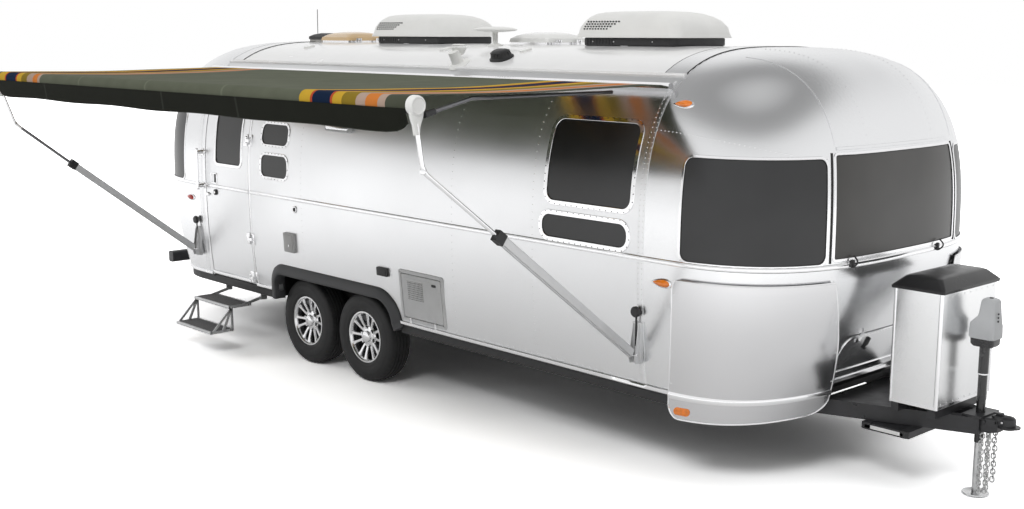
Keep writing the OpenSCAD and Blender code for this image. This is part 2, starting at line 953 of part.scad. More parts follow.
module entry_door() {
    placed()
        color("lightgray") {
            difference() {
                door_slab(0, wall_t - 5);
                along_y(-hw - 20, -hw + 300)
                    rlim(door_win[0], door_win[1], door_win[2], door_win[3], 55);
                along_y(-hw - 20, -hw + 30)
                    rlim(door_x0 + 40, door_x0 + 130, 1385, 1475, 12);
            }
            difference() {
                for (z = hinge_zs)
                    translate([hinge_x, hinge_y, z])
                        hinge_moving(78, 44, 76);
                inside_skin(hinge_x - 60, hinge_x + 30, 0);
                translate([hinge_x - door_gap + 1, hinge_y + knuckle_r, 0])
                    cube([30, 90, 3000]);
            }
        }
}

module door_window() {
    placed()
        color("dimgray")
            intersection() {
                mirror([0, 1, 0])
                    side_skin(door_x0, hinge_x, 6, 14);
                along_y(-hw - 20, -hw + 300)
                    rlim(door_win[0] + 0.3, door_win[1] - 0.3, door_win[2] + 0.3,
                         door_win[3] - 0.3, 54.7);
            }
}

hatch_axis = [x_front + depth_low(cap_front, hatch[3], 0) + 11, hatch[3] + door_gap];
heater_axis = [-(half_low(heater[2], 0) + 11), heater[2]];
lid_axis = [box_x0 - 25, lid_z - lid_h - 16];
hatch_ys = [-300, 300];
heater_hx = [heater[0] + 90, heater[1] - 90];
lid_ys = [-200, 200];

module at_hatch_hinges() {
    for (y = hatch_ys)
        translate([hatch_axis[0], y, hatch_axis[1]])
            rotate([0, -90, 90])
                children();
}

module at_heater_hinges() {
    for (x = heater_hx)
        translate([x, heater_axis[0], heater_axis[1]])
            rotate([0, 90, 0])
                children();
}

module at_lid_hinges() {
    for (y = lid_ys)
        translate([lid_axis[0], y, lid_axis[1]])
            rotate([90, 0, 0])
                children();
}

module hinge_mounts() {
    placed()
        color("silver") {
            difference() {
                for (z = hinge_zs)
                    translate([hinge_x, hinge_y, z])
                        hinge_fixed(78, 40, 76);
                inside_skin(hinge_x - 60, hinge_x + 60, -0.2);
            }
            difference() {
                at_hatch_hinges()
                    hinge_fixed(60, 34, 60);
                low_cap(x_front, cap_front, 1, -0.2, 140);
            }
            difference() {
                at_heater_hinges()
                    hinge_fixed(60, 34, 60);
                inside_skin(heater[0], heater[1], -0.2);
            }
            at_lid_hinges()
                difference() {
                    union() {
                        cylinder(h = 19, r = knuckle_r, center = true);
                        translate([0, -knuckle_r, -9.5])
                            cube([24.8, 2 * knuckle_r, 19]);
                    }
                    cylinder(h = 40, r = pin_r + fit, center = true);
                }
        }
}

module grab_handle() {
    placed()
        color("black") {
            difference() {
                for (z = [1390, 1690])
                    translate([door_x0 - 62, -hw - 46, z - 18])
                        cube([36, 76, 36]);
                inside_skin(door_x0 - 100, door_x0 + 10, -0.2);
            }
            translate([door_x0 - 44, -hw - 58, 1372])
                cylinder(h = 336, r = 12.5);
        }
}

// ---- lids and hatches ------------------------------------------------------

module heater_door() {
    placed()
        color("gainsboro")
            mirror([0, 1, 0])
                difference() {
                    intersection() {
                        side_skin(heater[0] + door_gap, heater[1] - door_gap, 0, 14);
                        translate([heater[0], hw - 300, heater[2] + door_gap])
                            cube([heater[1] - heater[0], 400,
                                  heater[3] - heater[2] - 2 * door_gap]);
                    }
                    for (i = [0:8])
                        translate([heater[0] + 30, hw - 60, heater[3] - 50 - 15 * i])
                            cube([190, 100, 6]);
                }
    placed()
        color("gainsboro")
            difference() {
                at_heater_hinges()
                    hinge_moving(60, 30, 60);
                inside_skin(heater[0], heater[1], 0);
                translate([heater[0], heater_axis[0] + knuckle_r, 0])
                    cube([1000, 300, heater[2] + door_gap - 1]);
            }
}

module front_hatch() {
    placed()
        color("gainsboro")
            intersection() {
                low_cap(x_front, cap_front, 1, 0, 18);
                hatch_block(0);
            }
    placed()
        color("gainsboro")
            difference() {
                at_hatch_hinges()
                    hinge_moving(60, 30, 60);
                low_cap(x_front, cap_front, 1, 0, 140);
                translate([x_front, -600, hatch[3] + 1])
                    cube([hatch_axis[0] - x_front - knuckle_r, 1200, 100]);
            }
}

// Stone guard over a lower front corner
module rock_guards() {
    placed()
        color("silver")
            intersection() {
                difference() {
                    hull_guard(26);
                    hull_guard(16);
                }
                union() {
                    for (s = [-1, 1])
                        translate([x_front + 240, s > 0 ? 560 : -hw - 200, sill_z - 130])
                            cube([1200, hw - 360, belt_z - 112 - sill_z + 130]);
                }
            }
}

function guard_row(off, z) = [for (j = [0:cap_n])
    let (t = -90 + 180 * j / cap_n, u = (belt_z - z) / (belt_z - sill_z))
    [x_front + (cap_front + off - (end_tuck - 105) * u * u) * se(cos(t)),
     (hw + off - (side_tuck - 10) * u * u) * se(sin(t)), z]];

module hull_guard(off) {
    m = 7;
    n = cap_n;
    zs = [for (i = [0:m]) sill_z - 130 + (belt_z - sill_z + 20) * i / m];
    pts = flat([for (z = zs) guard_row(off, z)]);
    k = len(pts);
    mids = [for (z = zs) [x_front, 0, z]];
    lft = [for (i = [0:m]) i * (n + 1)];
    rgt = [for (i = [0:m]) i * (n + 1) + n];
    ctr = [for (i = [0:m]) k + i];
    bot = [for (j = [0:n]) j];
    top = [for (j = [0:n]) m * (n + 1) + j];
    polyhedron(concat(pts, mids), concat(
        grid_faces(m, n, 0, true),
        strip(lft, ctr, true),
        strip(ctr, rgt, true),
        [for (j = [0:n - 1]) [bot[j], bot[j + 1], ctr[0]]],
        [for (j = [0:n - 1]) [top[j + 1], top[j], ctr[m]]]));
}

module rear_bumper() {
    placed()
        color("dimgray")
            translate([bumper_x, 0, belly_z + 53])
                difference() {
                    rotate([90, 0, 0])
                        linear_extrude(2 * hw - 552, center = true)
                            rrect(84, 106, 18);
                    rotate([90, 0, 0])
                        linear_extrude(2 * hw - 620, center = true)
                            rrect(76, 98, 14);
                }
    placed()
        color("silver")
            difference() {
                translate([bumper_x + 30, -rail_y - 60, belly_z + 106.2])
                    cube([x_rear - bumper_x, 2 * rail_y + 120, 4]);
                translate([0, 0, belly_z])
                    linear_extrude(400)
                        plan(sill_z + 41, -0.3);
            }
}

function cap_y(dx, d, z) = half_low(z, 0)
    * pow(1 - pow(dx / depth_low(d, z, 0), square_n), 1 / square_n);

module lamp(x, y, z, tilt) {
    translate([x, y, z])
        rotate([tilt, 0, 0])
            scale([2.3, 0.85, 1])
                cylinder(h = 18, r = 30, center = true);
}

module marker_lights() {
    placed()
        color("orange")
            for (s = [-1, 1]) {
                difference() {
                    lamp(x_front + 155, s * (cap_y(155, cap_front, 1270) + 9), 1270, 90);
                    low_cap(x_front, cap_front, 1, -0.4, 100);
                }
                difference() {
                    lamp(x_rear - 190, s * (cap_y(190, cap_rear, 1255) + 9), 1255, 90);
                    low_cap(x_rear, cap_rear, -1, -0.4, 100);
                }
                difference() {
                    lamp(x_front + 150, s * (half_at(2325) + 4), 2325, s * 62);
                    up_cap(x_front, cap_front, 1, -0.4, 60);
                }
            }
}

// ---- side fittings ---------------------------------------------------------

module side_fittings() {
    placed()
        color("silver")
            mirror([0, 1, 0])
                difference() {
                    union() {
                        along_y(hw - 80, hw + 8) {
                            rlim(-520, -370, 950, 1112, 16);
                            translate([-357, 1316])
                                circle(26);
                            rlim(735, 867, 925, 992, 10);
                        }
                        along_y(hw - 160, hw - 8)
                            rlim(70, 405, 1975, 2050, 30);
                    }
                    inside_skin(-1000, 1000, -0.2);
                }
}

// ---- roof ------------------------------------------------------------------

ac_xs = [2320, -140];
ac_l = 980;
ac_w = 650;

module ac_bases() {
    placed()
        color("black")
            difference() {
                for (x = ac_xs)
                    translate([x + 20, 0, crown_z - 20])
                        linear_extrude(75)
                            rrect(ac_l - 70, ac_w - 60, 60);
                inside_skin(x_rear, x_front, -0.2);
            }
}

module ac_shrouds() {
    placed()
        color("white")
            for (x = ac_xs)
                translate([x, 0, crown_z + 55.3])
                    hull() {
                        linear_extrude(70)
                            rrect(ac_l, ac_w, 110, $fn = 32);
                        translate([0, 0, 120])
                            linear_extrude(20)
                                rrect(ac_l - 70, ac_w - 60, 110, $fn = 32);
                        translate([0, 0, 175])
                            linear_extrude(12)
                                rrect(ac_l - 240, ac_w - 200, 110, $fn = 32);
                    }
}

module vent_frames() {
    placed()
        color("silver")
            difference() {
                for (i = [0, 1])
                    translate([vent_xs[i], vent_ys[i], crown_z - 30])
                        linear_extrude(66)
                            difference() {
                                square(vent_w + 44, center = true);
                                square(vent_w + 4, center = true);
                            }
                inside_skin(x_rear, x_front, -0.2);
            }
    placed()
        color("silver")
            difference() {
                for (i = [0, 1], s = [-1, 1], k = [-1, 1])
                    translate([vent_xs[i] + vent_pin_x, vent_ys[i] + s * 110 + k * 22,
                               crown_z - 20])
                        translate([-9, -7, 0])
                            cube([18, 14, 57]);
                for (i = [0, 1])
                    translate([vent_xs[i] + vent_pin_x, vent_ys[i], crown_z + 28])
                        rotate([90, 0, 0])
                            cylinder(h = 500, r = pin_r + fit, center = true);
                inside_skin(x_rear, x_front, -0.2);
            }
}

vent_pin_x = vent_w / 2 + 54;

module vent_lid(i) {
    translate([vent_xs[i], vent_ys[i], crown_z]) {
        difference() {
            hull() {
                translate([0, 0, 16])
                    linear_extrude(34)
                        square(vent_w + 76, center = true);
                translate([0, 0, 84])
                    linear_extrude(10)
                        rrect(vent_w - 70, vent_w - 70, 60, $fn = 32);
            }
            linear_extrude(42)
                square(vent_w + 64, center = true);
        }
        for (s = [-1, 1])
            translate([0, s * 110, 28]) {
                translate([vent_w / 2 + 37, -12, -8])
                    cube([21, 24, 16]);
                translate([vent_pin_x, 0, 0])
                    rotate([90, 0, 0])
                        cylinder(h = 60, r = pin_r, center = true);
            }
    }
}

module vent_lid_front() {
    placed()
        color("white")
            vent_lid(0);
}

module vent_lid_rear() {
    placed()
        color("peru")
            vent_lid(1);
}

// Height of the roof's skin at a distance from the middle
function roof_z(y) = belt_z + crown_h
    * pow(1 - pow(abs(y) / hw, square_n), 1 / square_n);

module roof_fittings() {
    placed()
        color("whitesmoke")
            difference() {
                union() {
                    translate([1230, -895, roof_z(895) - 100])
                        cylinder(h = 260, r = 45);
                    translate([1580, -790, roof_z(790) - 100])
                        cylinder(h = 140, r = 90);
                    translate([1080, -400, crown_z - 30]) {
                        cylinder(h = 130, r = 20);
                        cylinder(h = 34, r = 60);
                        translate([0, 0, 125])
                            cylinder(h = 36, r = 170);
                    }
                    translate([x_rear - 200, 0, crown_z - 20])
                        cylinder(h = 325, r = 8);
                    translate([x_rear + 190, 0, crown_z - 20])
                        cylinder(h = 110, r = 140);
                }
                inside_skin(x_rear, x_front, -0.2);
                up_cap(x_rear, cap_rear, -1, -0.4, 60);
            }
}

// ---- awning ----------------------------------------------------------------

wall_rail = [-(rail_pt[0] + 40), rail_pt[1] - 6];
arm_xs = [awning_front + 30, -awning_rear - 40];
foot_z = 800;
elbow = [roller_y + 40, 2040];

function lip_arc(r, a0, a1) = [for (i = [0:8])
    let (a = a0 + (a1 - a0) * i / 8)
    [roller_y + r * cos(a), roller_z + r * sin(a)]];

module awning_canopy() {
    r = roller_r + 1;
    placed()
        color("olivedrab")
            along_x(-awning_rear, awning_front)
                polygon(concat(
                    [wall_rail],
                    lip_arc(r + cloth_t, 90, 180),
                    [[roller_y - r - cloth_t, roller_z - 84], [roller_y - r, roller_z - 84]],
                    lip_arc(r, 180, 90),
                    [[wall_rail[0], wall_rail[1] - cloth_t]]));
}

module rod(p, q, r) {
    d = q - p;
    l = norm(d);
    translate(p)
        rotate([0, acos(d[2] / l), atan2(d[1], d[0])])
            cylinder(h = l, r = r);
}

module awning_arms() {
    placed()
        color("silver") {
            translate([arm_xs[1] + 30, roller_y, roller_z])
                rotate([0, 90, 0])
                    cylinder(h = arm_xs[0] - arm_xs[1] - 60, r = roller_r);
            for (x = arm_xs) {
                rod([x, -hw - 30, foot_z], [x, elbow[0], elbow[1]], 16);
                rod([x, elbow[0], elbow[1]], [x, roller_y, roller_z - 20], 14);
                translate([x + (x > 0 ? -28 : 28), roller_y, roller_z])
                    rotate([0, x > 0 ? 90 : -90, 0])
                        cylinder(h = 55, r = roller_r + 6);
                difference() {
                    translate([x - 40, -hw - 44, foot_z - 60])
                        cube([80, 100, 300]);
                    inside_skin(x_rear, x_front, -0.2);
                    low_cap(x_rear, cap_rear, -1, -0.4, 100);
                    low_cap(x_front, cap_front, 1, -0.4, 100);
                }
            }
        }
}

// ---- steps -----------------------------------------------------------------

step_x0 = hinge_x - 575;
step_w = 530;
tread_d = 224;
tread_t = 25;
link_t = 8;
link_w = 24;
step_pin = 6;
sp1 = [-(hw - 130), belly_z - 45];
sp2 = [-(hw + 94), 412];
sq1 = [-(hw + 194), 412];
sq2 = [-(hw + 284), 217];

// Flat bar between two pivots, seen along X
module bar2(p, q) {
    d = q - p;
    l = norm(d);
    for (c = [p, q])
        translate(c)
            circle(link_w / 2);
    translate(p)
        rotate(atan2(d[1], d[0]))
            translate([0, -link_w / 2])
                square([l, link_w]);
}

module both_ends() {
    children();
    translate([2 * step_x0 + step_w, 0, 0])
        mirror([1, 0, 0])
            children();
}

module pin_x(p, x0, x1, r) {
    translate([x0, p[0], p[1]])
        rotate([0, 90, 0])
            cylinder(h = x1 - x0, r = r);
}

module step_mounts() {
    placed()
        color("silver")
            both_ends()
                difference() {
                    translate([step_x0 - 28, sp1[0] - 30, sp1[1] - 20])
                        cube([link_t, 60, belly_z - 0.5 - sp1[1] + 20]);
                    pin_x(sp1, step_x0 - 40, step_x0, step_pin + fit);
                }
}

module step_links_upper() {
    placed()
        color("silver")
            both_ends() {
                difference() {
                    along_x(step_x0 - 14, step_x0 - 6)
                        bar2(sp1, sp2);
                    pin_x(sp2, step_x0 - 40, step_x0, step_pin + fit);
                }
                pin_x(sp1, step_x0 - 28, step_x0 - 6, step_pin);
            }
}

module step_tread_upper() {
    placed()
        color("dimgray") {
            translate([step_x0, sp2[0] - 130, sp2[1] - 9])
                cube([step_w, tread_d, tread_t]);
            both_ends() {
                pin_x(sp2, step_x0 - 14, step_x0 + 10, step_pin);
                pin_x(sq1, step_x0 - 28, step_x0 + 10, step_pin);
            }
        }
}

module step_links_lower() {
    placed()
        color("silver")
            both_ends()
                difference() {
                    along_x(step_x0 - 28, step_x0 - 20)
                        bar2(sq1, sq2);
                    pin_x(sq1, step_x0 - 40, step_x0, step_pin + fit);
                    pin_x(sq2, step_x0 - 40, step_x0, step_pin + fit);
                }
}

module step_tread_lower() {
    placed()
        color("dimgray") {
            translate([step_x0, sq2[0] - 124, sq2[1] - 12])
                cube([step_w, tread_d, tread_t]);
            both_ends()
                pin_x(sq2, step_x0 - 28, step_x0 + 10, step_pin);
        }
}

curb_wall();
road_wall();
roof_panel();
front_cap_upper();
front_cap_lower();
rear_cap_upper();
rear_cap_lower();
floor_pan();
wheel_wells();
window_frames();
windows();
trim_rails();
fenders();
rock_guards();
marker_lights();
side_fittings();
chassis_rails();
tongue_beams();
tongue_brackets();
coupler();
safety_chains();
jack_post();
jack_head();
jack_leg();
tongue_box();
tongue_box_lid();
rear_bumper();
axles();
tyre_curb_front();
tyre_curb_rear();
tyre_road_front();
tyre_road_rear();
rim_curb_front();
rim_curb_rear();
rim_road_front();
rim_road_rear();
entry_door();
door_window();
hinge_mounts();
grab_handle();
heater_door();
front_hatch();
step_mounts();
step_links_upper();
step_tread_upper();
step_links_lower();
step_tread_lower();
ac_bases();
ac_shrouds();
vent_frames();
vent_lid_front();
vent_lid_rear();
roof_fittings();
awning_canopy();
awning_arms();
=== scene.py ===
"""Travel caravan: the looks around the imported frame. Metres, +X forward, +Y road side, +Z up."""

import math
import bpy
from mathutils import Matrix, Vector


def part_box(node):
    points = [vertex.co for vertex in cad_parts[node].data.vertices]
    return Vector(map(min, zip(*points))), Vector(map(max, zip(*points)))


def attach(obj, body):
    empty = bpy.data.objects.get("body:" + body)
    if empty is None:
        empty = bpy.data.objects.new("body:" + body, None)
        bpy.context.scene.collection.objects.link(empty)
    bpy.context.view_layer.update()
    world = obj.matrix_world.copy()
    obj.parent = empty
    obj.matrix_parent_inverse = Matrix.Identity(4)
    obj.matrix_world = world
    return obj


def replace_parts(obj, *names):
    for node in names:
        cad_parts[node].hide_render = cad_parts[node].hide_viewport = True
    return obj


bl_info = {
    "name": "Travel Caravan",
    "version": (1, 0, 0),
    "blender": (4, 5, 0),
    "location": "View3D > Sidebar > Caravan",
    "description": "Builds a riveted aluminium travel caravan around its frame",
    "category": "Add Mesh",
}

from collections import namedtuple

import bmesh
import bpy
import numpy as np
from mathutils import Matrix, Vector

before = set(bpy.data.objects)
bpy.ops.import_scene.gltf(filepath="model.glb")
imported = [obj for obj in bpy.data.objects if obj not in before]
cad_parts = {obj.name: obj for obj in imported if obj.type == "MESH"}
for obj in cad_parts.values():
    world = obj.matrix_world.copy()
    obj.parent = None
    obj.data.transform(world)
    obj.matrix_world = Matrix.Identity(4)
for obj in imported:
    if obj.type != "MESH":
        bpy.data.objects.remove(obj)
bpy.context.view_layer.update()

# ---- sizes taken from the frame ---------------------------------------------


def box(node):
    low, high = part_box(node)
    return Vector(low), Vector(high)


def middle(node):
    low, high = box(node)
    return (low + high) / 2


WALL_LOW, WALL_HIGH = box("road_wall")
X_REAR, X_FRONT = WALL_LOW.x, WALL_HIGH.x
Y_MID = middle("coupler").y
HALF_W = WALL_HIGH.y - Y_MID
SILL = WALL_LOW.z
BELT = box("front_cap_lower")[1].z
CROWN = box("roof_panel")[1].z
NOSE_DEPTH = box("front_cap_lower")[1].x - X_FRONT
TAIL_DEPTH = X_REAR - box("rear_cap_lower")[0].x
X_AXLES = (middle("tyre_curb_front").x + middle("tyre_curb_rear").x) / 2
SQUARE_N = 3.1
SIDE_TUCK = 0.056
END_TUCK = 0.285
ROOT = "caravan_body"
UP, FORWARD = Vector((0, 0, 1)), Vector((1, 0, 0))


def bx(x):
    """Station along the body, counted from the middle of the axles."""
    return X_AXLES + x


# ---- the body's surface -----------------------------------------------------


def unit(a):
    """Point on the unit squared circle in the direction a."""
    c, s = math.cos(a), math.sin(a)
    r = (abs(c) ** SQUARE_N + abs(s) ** SQUARE_N) ** (-1 / SQUARE_N)
    return c * r, s * r


def arc_table(depth):
    """Running length, direction and point at every half degree round an end."""
    turn = np.linspace(-math.pi / 2, math.pi / 2, 361)
    pts = np.array([[depth * unit(a)[0], HALF_W * unit(a)[1]] for a in turn])
    run = np.concatenate([[0], np.cumsum(np.linalg.norm(np.diff(pts, axis=0), axis=1))])
    return run, turn, pts


NOSE_ARC = arc_table(NOSE_DEPTH)
TAIL_ARC = arc_table(TAIL_DEPTH)
NOSE_LEN = float(NOSE_ARC[0][-1])
TAIL_LEN = float(TAIL_ARC[0][-1])


def level(v, off=0.0):
    """Half width, nose depth, tail depth and height at a station v up the section."""
    if v <= 0:
        tuck = v * v
        return (HALF_W + off - SIDE_TUCK * tuck, NOSE_DEPTH + off - END_TUCK * tuck,
                TAIL_DEPTH + off - END_TUCK * tuck, BELT + v * (BELT - SILL))
    c, s = unit(v)
    return ((HALF_W + off) * c, (NOSE_DEPTH + off) * c, (TAIL_DEPTH + off) * c,
            BELT + (CROWN - BELT + off) * s)


def v_at(z):
    """Station up the section at a height."""
    if z <= BELT:
        return (z - BELT) / (BELT - SILL)
    s = min(1.0, (z - BELT) / (CROWN - BELT))
    c = (1 - s ** SQUARE_N) ** (1 / SQUARE_N)
    return math.atan2(s, c)


def skin(t, v, off=0.0):
    """Point on the outer skin; t runs along the body and on round the two ends."""
    w, f, r, z = level(v, off)
    if t > X_FRONT:
        a = float(np.interp(t - X_FRONT, NOSE_ARC[0], NOSE_ARC[1]))
        c, s = unit(a)
        return Vector((X_FRONT + f * c, Y_MID + w * s, z))
    if t < X_REAR:
        a = float(np.interp(X_REAR - t, TAIL_ARC[0], TAIL_ARC[1]))
        c, s = unit(a)
        return Vector((X_REAR - r * c, Y_MID + w * s, z))
    return Vector((t, Y_MID - w, z))


def skin_normal(t, v):
    e = 0.002
    return (skin(t + e, v) - skin(t - e, v)).cross(skin(t, v + e) - skin(t, v - e)).normalized()


def t_nose(y):
    """Station round the nose where the belt line passes y, counted from the middle."""
    return X_FRONT + float(np.interp(y, NOSE_ARC[2][:, 1], NOSE_ARC[0]))


def t_tail(y):
    return X_REAR - float(np.interp(y, TAIL_ARC[2][:, 1], TAIL_ARC[0]))


def other_side(p):
    """The same point on the road side."""
    return Vector((p.x, 2 * Y_MID - p.y, p.z))


def flipped(d):
    """The same direction on the road side."""
    return Vector((d.x, -d.y, d.z))


def crossed(m):
    """The same placement on the road side."""
    return Matrix.Translation((0, 2 * Y_MID, 0)) @ Matrix.Diagonal((1, -1, 1, 1)) @ m


# ---- mesh helpers -----------------------------------------------------------


def add(name, bm, mats, body=ROOT, smooth=True, angle=35, weld=1e-5, normals=True):
    """Turns a bmesh into a piece that rides on a body."""
    if weld:
        bmesh.ops.remove_doubles(bm, verts=bm.verts, dist=weld)
    if normals:
        bmesh.ops.recalc_face_normals(bm, faces=bm.faces)
    if smooth:
        limit = math.radians(angle)
        for f in bm.faces:
            f.smooth = True
        for e in bm.edges:
            if len(e.link_faces) == 1 or (len(e.link_faces) == 2
                                          and e.calc_face_angle(0) > limit):
                e.smooth = False
    mesh = bpy.data.meshes.new(name)
    bm.to_mesh(mesh)
    bm.free()
    for m in (mats if isinstance(mats, (list, tuple)) else [mats]):
        mesh.materials.append(m)
    obj = bpy.data.objects.new(name, mesh)
    bpy.context.scene.collection.objects.link(obj)
    if body:
        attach(obj, body)
    return obj


def solidify(obj, thickness, offset=-1.0, lining=0):
    """Gives a sheet its thickness, with a material of its own on the inside."""
    mod = obj.modifiers.new("Wall", "SOLIDIFY")
    mod.thickness, mod.offset = thickness, offset
    mod.use_even_offset = True
    mod.material_offset = lining


def soften(bm, edges, width):
    bmesh.ops.bevel(bm, geom=edges, offset=width, offset_type="OFFSET", segments=2,
                    profile=0.5, affect="EDGES", material=-1, clamp_overlap=True)


def close_ends(bm, before, caps=True):
    """Welds the seam of what was added since before and fills its open ends."""
    new = [v for v in bm.verts if v not in before]
    bmesh.ops.remove_doubles(bm, verts=new, dist=1e-6)
    if caps:
        new = [v for v in bm.verts if v not in before]
        rim = {e for v in new for e in v.link_edges if len(e.link_faces) == 1}
        bmesh.ops.holes_fill(bm, edges=list(rim), sides=0)


def grid(nu, nv, place, bm=None, flip=False, uv=None):
    """A grid of nu by nv faces whose points are put where place(i, j) says."""
    own = bm if bm is not None else bmesh.new()
    made = bmesh.ops.create_grid(own, x_segments=nu, y_segments=nv, size=1.0)["verts"]
    faces = {f for v in made for f in v.link_faces}
    index = {}
    for v in made:
        i = int(round((v.co.x + 1) / 2 * nu))
        j = int(round((v.co.y + 1) / 2 * nv))
        index[v] = (i, j)
    if uv:
        layer = own.loops.layers.uv.get("UVMap") or own.loops.layers.uv.new("UVMap")
        for f in faces:
            for loop in f.loops:
                loop[layer].uv = uv(*index[loop.vert])
    for v in made:
        v.co = place(*index[v])
    if flip:
        bmesh.ops.reverse_faces(own, faces=list(faces))
    return own


def lines(a, b, step, extra=()):
    """Stations from a to b with the extra ones among them, no further apart than step."""
    marks = sorted({round(a, 6), round(b, 6)} | {round(e, 6) for e in extra if a < e < b})
    out = [marks[0]]
    for lo, hi in zip(marks, marks[1:]):
        n = max(1, int(math.ceil((hi - lo) / step)))
        out += [lo + (hi - lo) * k / n for k in range(1, n + 1)]
    return out


def patch(ts, vs, point, holes=()):
    """A piece of skin on the stations ts and vs, with rectangular holes left open."""
    bm = grid(len(ts) - 1, len(vs) - 1, lambda i, j: Vector((ts[i], vs[j], 0)))
    gone = []
    for f in bm.faces:
        c = f.calc_center_median()
        if any(h[0] < c.x < h[1] and h[2] < c.y < h[3] for h in holes):
            gone.append(f)
    bmesh.ops.delete(bm, geom=gone, context="FACES")
    for v in bm.verts:
        v.co = point(v.co.x, v.co.y)
    return bm


def sweep(path, sides, profile, closed=False, bm=None):
    """Draws a closed profile along a path. sides gives the two axes of the profile."""
    n, m = len(path), len(profile)
    own = bm if bm is not None else bmesh.new()
    nu = n if closed else n - 1

    def place(i, j):
        k = i % n
        a, b = sides[k]
        p, q = profile[j % m]
        return path[k] + a * p + b * q

    before = set(own.verts)
    grid(nu, m, place, own)
    close_ends(own, before, not closed)
    return own


def path_sides(path, closed=False):
    """Side and up axes along a path."""
    out = []
    n = len(path)
    for i in range(n):
        if closed:
            d = path[(i + 1) % n] - path[i - 1]
        else:
            d = path[min(i + 1, n - 1)] - path[max(i - 1, 0)]
        d = d.normalized()
        a = d.cross(UP)
        if a.length < 1e-4:
            a = d.cross(Vector((0, 1, 0)))
        a = a.normalized()
        out.append((a, a.cross(d).normalized()))
    return out


def ring(n, r):
    """Points of a circle about the origin."""
    return [(r * math.cos(2 * math.pi * k / n), r * math.sin(2 * math.pi * k / n))
            for k in range(n)]


def round_rect(w, h, r, n=6):
    """Closed outline of a rounded rectangle about the origin."""
    out = []
    for cx, cy, a0 in ((w / 2 - r, h / 2 - r, 0), (-w / 2 + r, h / 2 - r, 90),
                       (-w / 2 + r, -h / 2 + r, 180), (w / 2 - r, -h / 2 + r, 270)):
        for k in range(n + 1):
            a = math.radians(a0 + 90 * k / n)
            out.append((cx + r * math.cos(a), cy + r * math.sin(a)))
    return out


def outline_rect(x0, x1, z0, z1, r, n=7, split=0.09):
    """Rounded rectangle with points along its straight sides too."""
    pts = [(x + (x0 + x1) / 2, y + (z0 + z1) / 2)
           for x, y in round_rect(x1 - x0, z1 - z0, r, n)]
    out = []
    for a, b in zip(pts, pts[1:] + pts[:1]):
        d = math.hypot(b[0] - a[0], b[1] - a[1])
        k = max(1, int(d / split))
        out += [(a[0] + (b[0] - a[0]) * i / k, a[1] + (b[1] - a[1]) * i / k) for i in range(k)]
    return out


def tube(points, radius, n=12, bm=None, closed=False):
    path = [Vector(p) for p in points]
    return sweep(path, path_sides(path, closed), ring(n, radius), closed, bm)


def block(low, high, bm=None, bevel=0.0):
    """A block between two corners with rounded edges."""
    own = bm if bm is not None else bmesh.new()
    low, high = Vector(low), Vector(high)
    size = high - low
    made = bmesh.ops.create_cube(own, size=1.0, matrix=Matrix.Translation((low + high) / 2)
                                 @ Matrix.Diagonal((*size, 1)))["verts"]
    if bevel:
        soften(own, list({e for v in made for e in v.link_edges}), bevel)
    return own


def disc(centre, axis, radius, depth, n=24, bm=None, top=None, bevel=0.0):
    """A short cylinder or cone that starts at centre and runs along axis."""
    own = bm if bm is not None else bmesh.new()
    turn = Vector(axis).normalized().to_track_quat("Z", "Y").to_matrix().to_4x4()
    place = Matrix.Translation(Vector(centre) + Vector(axis).normalized() * depth / 2) @ turn
    made = bmesh.ops.create_cone(own, cap_ends=True, segments=n, radius1=radius,
                                 radius2=radius if top is None else top, depth=depth,
                                 matrix=place)["verts"]
    if bevel:
        edges = {e for v in made for e in v.link_edges}
        soften(own, [e for e in edges if e.calc_face_angle(0) > 0.9], bevel)
    return own


def lathe(profile, centre, axis, steps=48, bm=None, close=False):
    """Turns a profile of (radius, height) pairs about an axis."""
    turn = Vector(axis).normalized().to_track_quat("Z", "Y")
    centre = Vector(centre)
    n = len(profile)

    def place(i, j):
        r, h = profile[j % n]
        a = 2 * math.pi * (i % steps) / steps
        return centre + turn @ Vector((r * math.cos(a), r * math.sin(a), h))

    return grid(steps, n if close else n - 1, place, bm)


def dome(r, h, n=7):
    """A rivet's head."""
    bm = bmesh.new()
    bmesh.ops.create_cone(bm, cap_ends=True, segments=n, radius1=r, radius2=r * 0.55, depth=h,
                          matrix=Matrix.Translation((0, 0, h * 0.3)))
    bmesh.ops.delete(bm, geom=[f for f in bm.faces if f.normal.z < -0.9], context="FACES")
    return bm


def scatter(name, template, spots, mat, body=ROOT):
    """Repeats a small shape at many (point, normal) spots as one piece."""
    template.verts.ensure_lookup_table()
    base = np.array([v.co[:] for v in template.verts])
    faces = [[v.index for v in f.verts] for f in template.faces]
    verts, polys = [], []
    for k, (p, n) in enumerate(spots):
        m = np.array(n.to_track_quat("Z", "Y").to_matrix())
        verts.append(base @ m.T + np.array(p))
        polys += [[i + k * len(base) for i in f] for f in faces]
    template.free()
    mesh = bpy.data.meshes.new(name)
    mesh.from_pydata(np.concatenate(verts).tolist(), [], polys)
    mesh.shade_smooth()
    mesh.materials.append(mat)
    obj = bpy.data.objects.new(name, mesh)
    bpy.context.scene.collection.objects.link(obj)
    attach(obj, body)
    return obj


